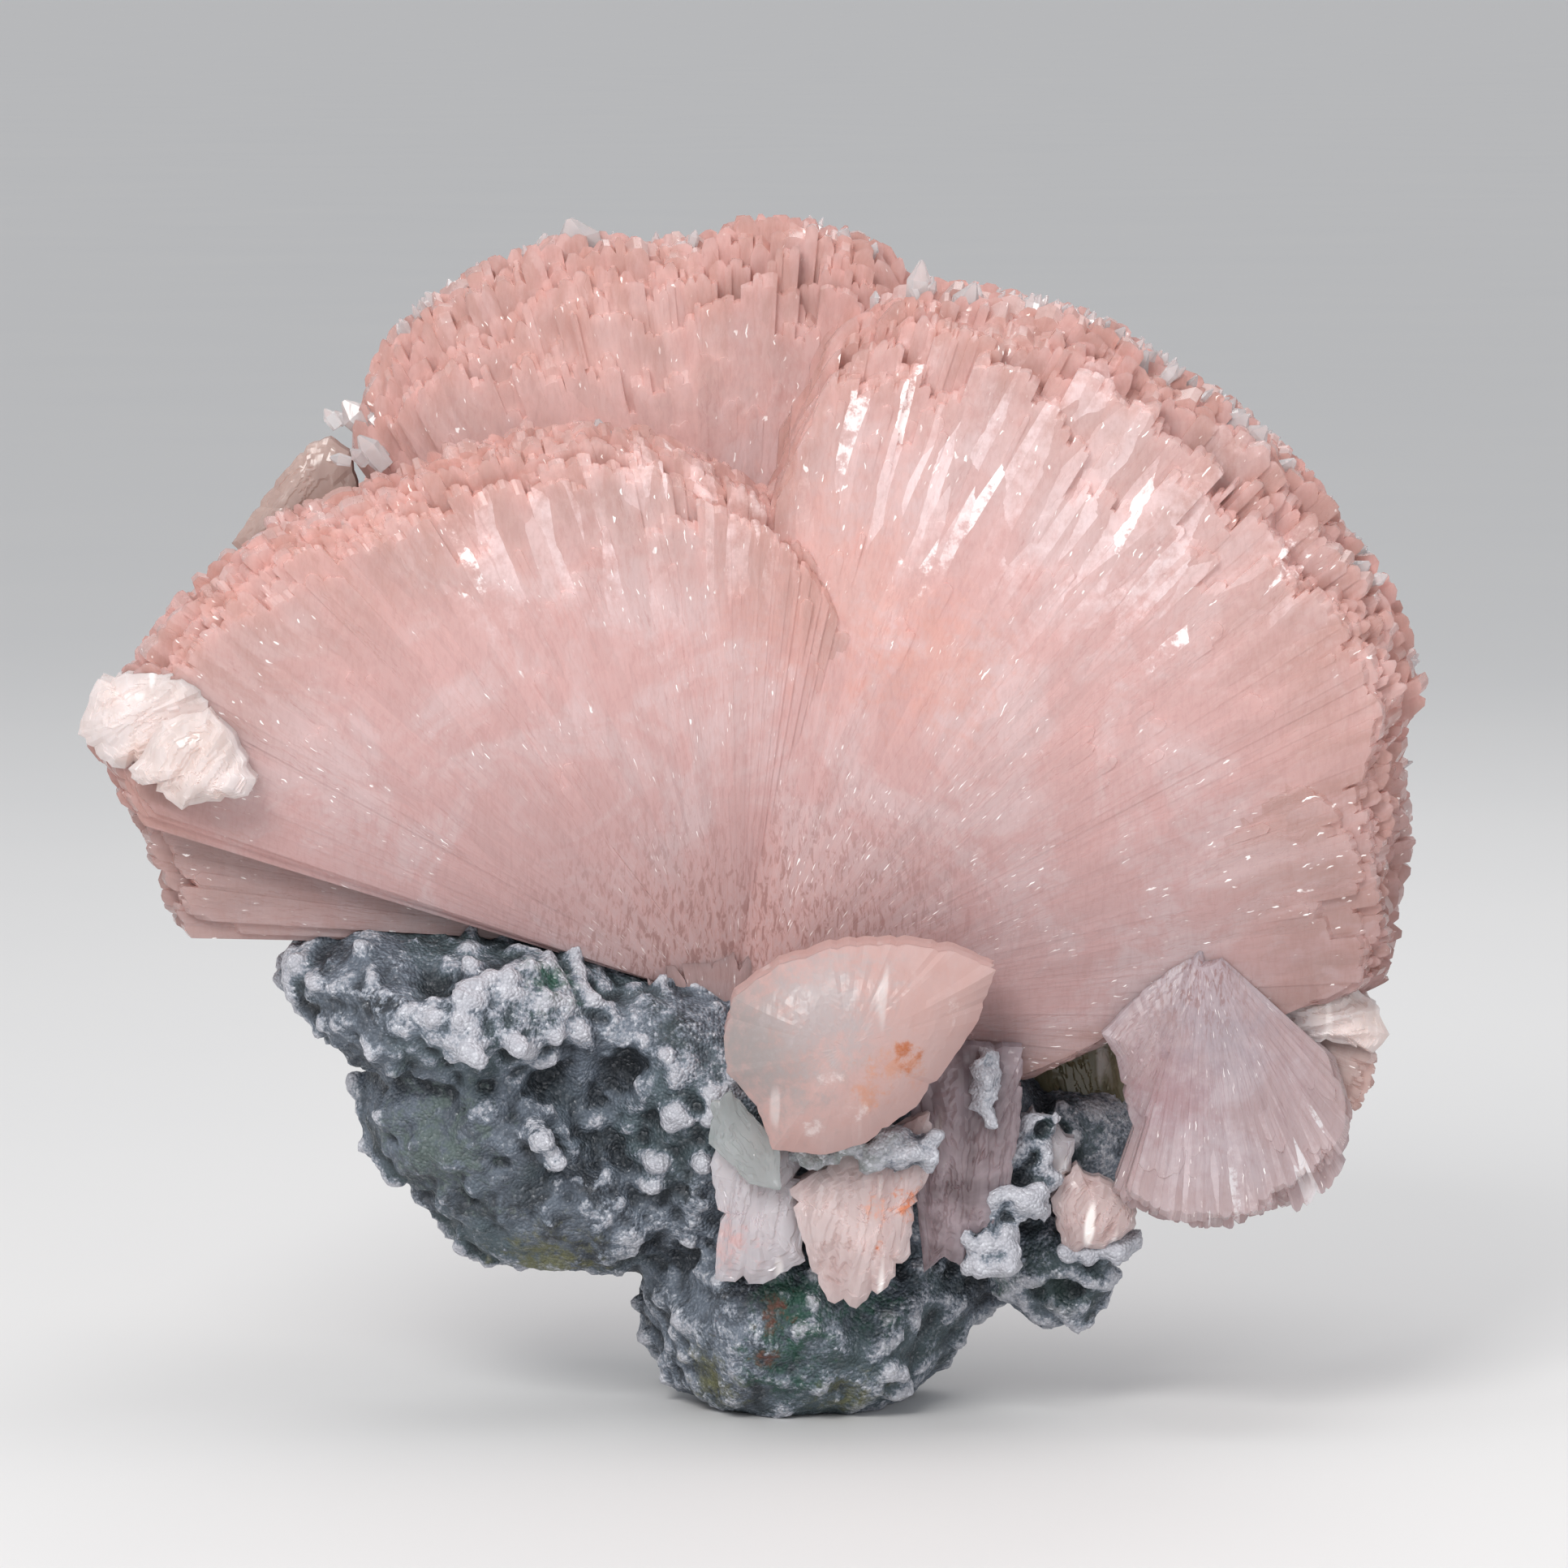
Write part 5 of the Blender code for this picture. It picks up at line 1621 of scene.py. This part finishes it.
CRYSTAL_FINISHES = {
    "block_pink": CrystalFinish(
        (0.585, 0.36, 0.33), (0.60, 0.43, 0.415), turn=(0, 35, 0), clear=0.15,
        stains=(((-2.5, -28, 36.5), 9.5, (0.37, 0.325, 0.32), 0.5),
                ((4.0, -28, 40.0), 7.0, (0.50, 0.42, 0.42), 0.6),
                ((11.0, -28, 34.6), 2.4, PALE_ORANGE, 1.2), ((10.9, -28, 35.8), 1.0, RUSTY, 0.9),
                ((12.4, -28, 35.4), 0.9, RUSTY, 0.9), ((11.2, -28, 34.2), 0.9, RUSTY, 0.9),
                ((8.0, -28, 32.2), 1.9, PALE_ORANGE, 1.2), ((6.6, -28, 28.8), 0.9, PALE_ORANGE, 1.0),
                ((17.4, -28, 41.2), 1.3, PALE, 1.0), ((15.8, -28, 39.2), 1.2, PALE, 1.2),
                ((4.4, -28, 33.4), 0.9, PALE, 1.2), ((6.8, -28, 30.2), 1.0, PALE, 1.2),
                ((2.4, -28, 28.6), 1.3, PALE, 1.3)),
        roughness=(0.32, 0.46), flaws=0.35),
    "cream_fibre": CrystalFinish(
        (0.58, 0.475, 0.445), (0.71, 0.65, 0.655), turn=(0, -40, 0), lines=1500, cloudy=0.9,
        roughness=(0.2, 0.4), flaws=0.6),
    "rim_clear": CrystalFinish(
        (0.88, 0.85, 0.86), (0.93, 0.90, 0.91), clear=0.6, core=0.25, cloudy=0.5,
        roughness=(0.04, 0.12), flaws=0.3),
    "milky_blade": CrystalFinish(
        (0.40, 0.28, 0.25), (0.56, 0.43, 0.39), turn=(0, 40, 0), clear=0.1, roughness=(0.12, 0.3)),
    "white_plate": CrystalFinish(
        (0.44, 0.40, 0.43), (0.70, 0.67, 0.70), turn=(0, 12, 0), clear=0.1,
        stains=(((-1.6, -17, 25.6), 1.9, (0.56, 0.33, 0.31), 0.8),
                ((-4.6, -17, 17.6), 2.6, (0.60, 0.42, 0.42), 1.0)), lines=700, flaws=0.9),
    "thin_clear": CrystalFinish(
        (0.62, 0.68, 0.68), (0.80, 0.82, 0.82), turn=(0, 35, 0), clear=0.7, lines=1400,
        cloudy=0.7, roughness=(0.04, 0.15), core=0.2, flaws=1.0),
    "splinter_pink": CrystalFinish(
        (0.42, 0.315, 0.31), (0.66, 0.57, 0.57), turn=(0, 20, 0),
        stains=(((11.0, -19, 21.4), 1.5, ORANGE, 1.2), ((8.6, -19, 20.6), 1.6, PALE_ORANGE, 1.2),
                ((9.2, -19, 17.4), 1.0, ORANGE, 1.2)), lines=700, flaws=0.9),
    "violet_grey": CrystalFinish(
        (0.13, 0.095, 0.105), (0.42, 0.34, 0.37), turn=(0, 5, 0), clear=0.1, cloudy=0.9,
        roughness=(0.1, 0.25), flaws=0.7),
    "olive_blade": CrystalFinish(
        (0.13, 0.115, 0.06), (0.30, 0.28, 0.2), turn=(0, -20, 0), clear=0.1),
    "pink_chip": CrystalFinish((0.42, 0.18, 0.165), (0.52, 0.30, 0.28)),
}


@lru_cache(maxsize=None)
def crystal_material(name):
    """A single crystal: see-through where it isn't milky, with cleavage lines and white streaks."""
    finish = CRYSTAL_FINISHES[name]
    material, tree, shader = new_material(
        name, Subsurface_Weight=finish.core, Subsurface_Radius=(1.0, 0.7, 0.6),
        Subsurface_Scale=finish.scatter, IOR=1.49, Transmission_Weight=finish.clear)
    haze = use_group(tree, "haze", Turn=tuple(math.radians(a) for a in finish.turn),
                     Lines=finish.lines)
    colour = blend(tree, times(tree, haze["Clouds"], finish.cloudy), finish.tint, finish.milk)
    colour = blend(tree, times(tree, haze["Lines"], 0.25), colour, finish.milk)
    colour = stained(tree, colour, finish.stains)
    colour = blend(tree, times(tree, haze["Flaws"], finish.flaws), colour, FLAW_WHITE)
    rough = ramp(tree, haze["Clouds"], 0.0, 1.0, *finish.roughness)
    finish_shader(tree, shader, colour, rough, haze["Height"], 0.3, 0.25)
    return material


# The finish of the rock and the floor

BASALT = (0.03, 0.036, 0.046)
BLUE_GREY = (0.15, 0.18, 0.225)
GREEN_GREY = (0.06, 0.10, 0.105)
THIN_FROST = (0.21, 0.245, 0.30)
WHITE_FROST = (0.55, 0.555, 0.61)
# the colour of the painted shade in the rock's hollows
PAINTED_HOLLOW_SHADE = (0.010, 0.014, 0.019)
QUARTZ_SPARK = (0.78, 0.80, 0.86)
FLOOR_PALE = (0.82, 0.815, 0.81)
FLOOR_GREY = (0.78, 0.78, 0.785)
GREEN = (0.018, 0.085, 0.055)
PALE_GREEN = (0.12, 0.16, 0.15)
OLIVE = (0.16, 0.16, 0.07)
RUST = (0.17, 0.06, 0.045)

# Where the white crust is thicker or thinner: centre, size, how much
ROCK_CRUSTS = (
    ((-24.0, -17, 37.5), 12.0, 0.5),
    ((-33.0, -14, 27.0), 15.0, -1.15),
    ((-24.0, -13, 19.0), 12.0, -0.85),
    ((-16.0, -16, 30.0), 8.0, -0.7),
    ((24.0, -13, 21.0), 9.0, -0.2),
    ((2.0, -14, 8.0), 12.0, -0.25),
)

# Stains on the rock, and a near-black spot over a pit: centre, size, colour, how ragged
ROCK_STAINS = (
    ((-20.5, -15, 39.6), 3.0, GREEN, 0.9),
    ((1.0, -14, 11.0), 4.6, GREEN, 1.0),
    ((0.6, -14, 5.0), 4.2, GREEN, 1.0),
    ((8.6, -12, 11.4), 3.6, GREEN, 0.9),
    ((18.0, -9, 12.4), 3.0, GREEN, 0.9),
    # a near-black spot over the pit at the lower right
    ((24.9, -9, 11.2), 3.4, (0.01, 0.03, 0.025), 0.4),
    ((-20.0, -9, 12.6), 6.0, OLIVE, 0.9),
    ((-7.4, -10, 3.0), 4.4, OLIVE, 0.8),
    ((6.6, -11, 0.8), 4.0, OLIVE, 0.8),
    ((-0.6, -15, 10.6), 1.6, RUST, 1.3),
    ((-6.4, -14, 9.6), 1.3, RUST, 1.3),
    ((-1.0, -14, 6.4), 1.2, RUST, 1.3),
    ((-31.0, -14, 25.0), 6.0, PALE_GREEN, 1.3),
    ((4.6, -19.4, 26.0), 7.5, (0.24, 0.27, 0.255), 0.7),
)


def frost_cover(tree, place, veins, rise, relief):
    """How thick the white frost lies: more on what stands out, broken up by veins and grit."""
    cover = plus(tree, times(tree, relief, 1.5), ramp(tree, rise, 0.0, 2.5, 0.0, 0.42))
    cover = plus(tree, cover, ramp(tree, veins, 0.3, 0.7, -0.3, 0.3))
    grit = noise_at(tree, place, 2600.0, 3.0, 0.7)
    cover = plus(tree, cover, ramp(tree, grit, 0.3, 0.7, -0.34, 0.34))
    for centre, size, more in ROCK_CRUSTS:
        cover = plus(tree, cover, times(tree, spot(tree, centre, size, 0.5), more))
    return cover


def rock_material(name):
    """Blue-grey basalt under frosted chalcedony, with green, rust and yellow-green stains, and painted
    shade in its hollows.
    """
    material, tree, shader = new_material(name, IOR=1.5)
    place = own_place(tree)
    frost = use_group(tree, "frost", Grain=3000.0)
    rise, relief = attribute(tree, "rise"), attribute(tree, "relief")
    veins = noise_at(tree, place, 190.0, 6.0, 0.6, 0.8)
    hues = noise_at(tree, place, 70.0, 3.0)
    colour = blend(tree, ramp(tree, veins, 0.34, 0.58), BASALT, BLUE_GREY)
    colour = blend(tree, ramp(tree, hues, 0.46, 0.62, 0.0, 0.6), colour, GREEN_GREY)
    cover = frost_cover(tree, place, veins, rise, relief)
    colour = blend(tree, ramp(tree, cover, 0.0, 0.55), colour, THIN_FROST)
    colour = blend(tree, ramp(tree, cover, 0.25, 1.1, 0.0, 0.95), colour, WHITE_FROST)
    # painted shade: the rock is darkened where it is hollow
    colour = blend(tree, ramp(tree, relief, 0.02, -0.5, 0.0, 0.85), colour, PAINTED_HOLLOW_SHADE)
    colour = stained(tree, colour, ROCK_STAINS, 0.85)
    sparks = times(tree, frost["Sparkle"], ramp(tree, cover, 0.0, 0.8, 0.08, 0.55))
    colour = blend(tree, sparks, colour, QUARTZ_SPARK)
    rough = ramp(tree, frost["Sparkle"], 0.0, 1.0, 0.6, 0.25)
    finish_shader(tree, shader, colour, rough, frost["Height"], 0.8, 0.32)
    return material


def floor_material():
    material, tree, shader = new_material("pale_floor", Roughness=0.6)
    mottle = noise_at(tree, own_place(tree), 9.0, 4.0)
    tree.links.new(blend(tree, mottle, FLOOR_GREY, FLOOR_PALE), shader.inputs["Base Color"])
    return material


# The pieces, put together


def dress(thing, material, slot, *nodes):
    """Gives the piece its finish, says what it rides on, and hides the parts that it stands for."""
    thing.data.materials.clear()
    thing.data.materials.append(material)
    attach(thing, BODY)
    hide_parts(*nodes)


def make_sheaf():
    low, rest = [], []
    for fan in SHEAF_FANS:
        (low if fan.root == LOW_LEFT_ROOT else rest).append(fan)
    dress(merge_fans("sheaf", rest), fan_material("sheaf_pink"), "pink_sheaf", "main_sheaf")
    dress(merge_fans("low_lobe", low), fan_material("low_lobe_pink"), "pink_sheaf", "main_sheaf")
    dress(make_fan("root_tuft", ROOT_TUFT), fan_material("tuft_brown_pink"), "pink_sheaf",
          "main_sheaf")


def make_small_fans():
    dress(make_fan("bowtie_fan", BOWTIE_FAN, cleaved(BOWTIE_WING)), fan_material("bowtie_pink"),
          "pale_pink_crystal", "bowtie_crystal")
    dress(make_fan("small_fan", SMALL_PINK_FAN), fan_material("small_fan_pink"),
          "pale_pink_crystal", "small_pink_fan")


def make_slab(slab):
    thing = cleaved(slab)
    if slab.wing:
        thing = combine(thing, [cleaved(slab.wing)])
    dress(thing, crystal_material(slab.finish), slab.slot, slab.node)


def make_crystals():
    for slab in THICK_SLABS:
        make_slab(slab)
    dress(make_rim_crystals("rim_crystals"), crystal_material("rim_clear"), "clear_crystal",
          *[sizes[0] for sizes in RIM_CRYSTALS])
    for slab in THIN_SLABS:
        make_slab(slab)


# The camera's surroundings


def put_in_scene(name, data, place, aim):
    """A lamp or camera at a place, in millimetres, that points at its aim."""
    thing = bpy.data.objects.new(name, data)
    bpy.context.scene.collection.objects.link(thing)
    thing.location = Vector(place) * MM
    thing.rotation_euler = (Vector(aim) - Vector(place)).to_track_quat("-Z", "Y").to_euler()
    return thing


def make_stage():
    """A pale floor, soft studio lights, and the camera at the photograph's angle."""
    form = bmesh.new()
    bmesh.ops.create_grid(form, x_segments=8, y_segments=8, size=FLOOR_REACH)
    floor = object_from(form, "floor")
    floor.data.materials.append(floor_material())

    for name, place, power, size, colour in LIGHTS:
        light = bpy.data.lights.new(name, "AREA")
        light.energy = power
        light.color = colour
        light.shape = "RECTANGLE"
        light.size, light.size_y = size
        put_in_scene(name, light, place, LIGHT_AIM)
    world = bpy.data.worlds.new("studio")
    bpy.context.scene.world = world
    world.use_nodes = True
    sky = world.node_tree.nodes["Background"].inputs
    sky["Color"].default_value = (*SKY_COLOUR, 1)
    sky["Strength"].default_value = SKY_STRENGTH

    view = bpy.data.cameras.new("camera")
    view.lens = LENS
    view.sensor_width = SENSOR
    view.clip_start = 0.01
    rise = math.radians(CAMERA_RISE)
    away = LENS / SENSOR * FRAME_WIDTH
    place = Vector(CAMERA_AIM) + Vector((0, -math.cos(rise), math.sin(rise))) * away
    bpy.context.scene.camera = put_in_scene("camera", view, place, CAMERA_AIM)
    bpy.context.scene.view_settings.view_transform = "Standard"


make_stage()
make_sheaf()
make_small_fans()
make_crystals()
dress(make_rock("rock"), rock_material("frosted_rock"), "rock", "matrix_rock")
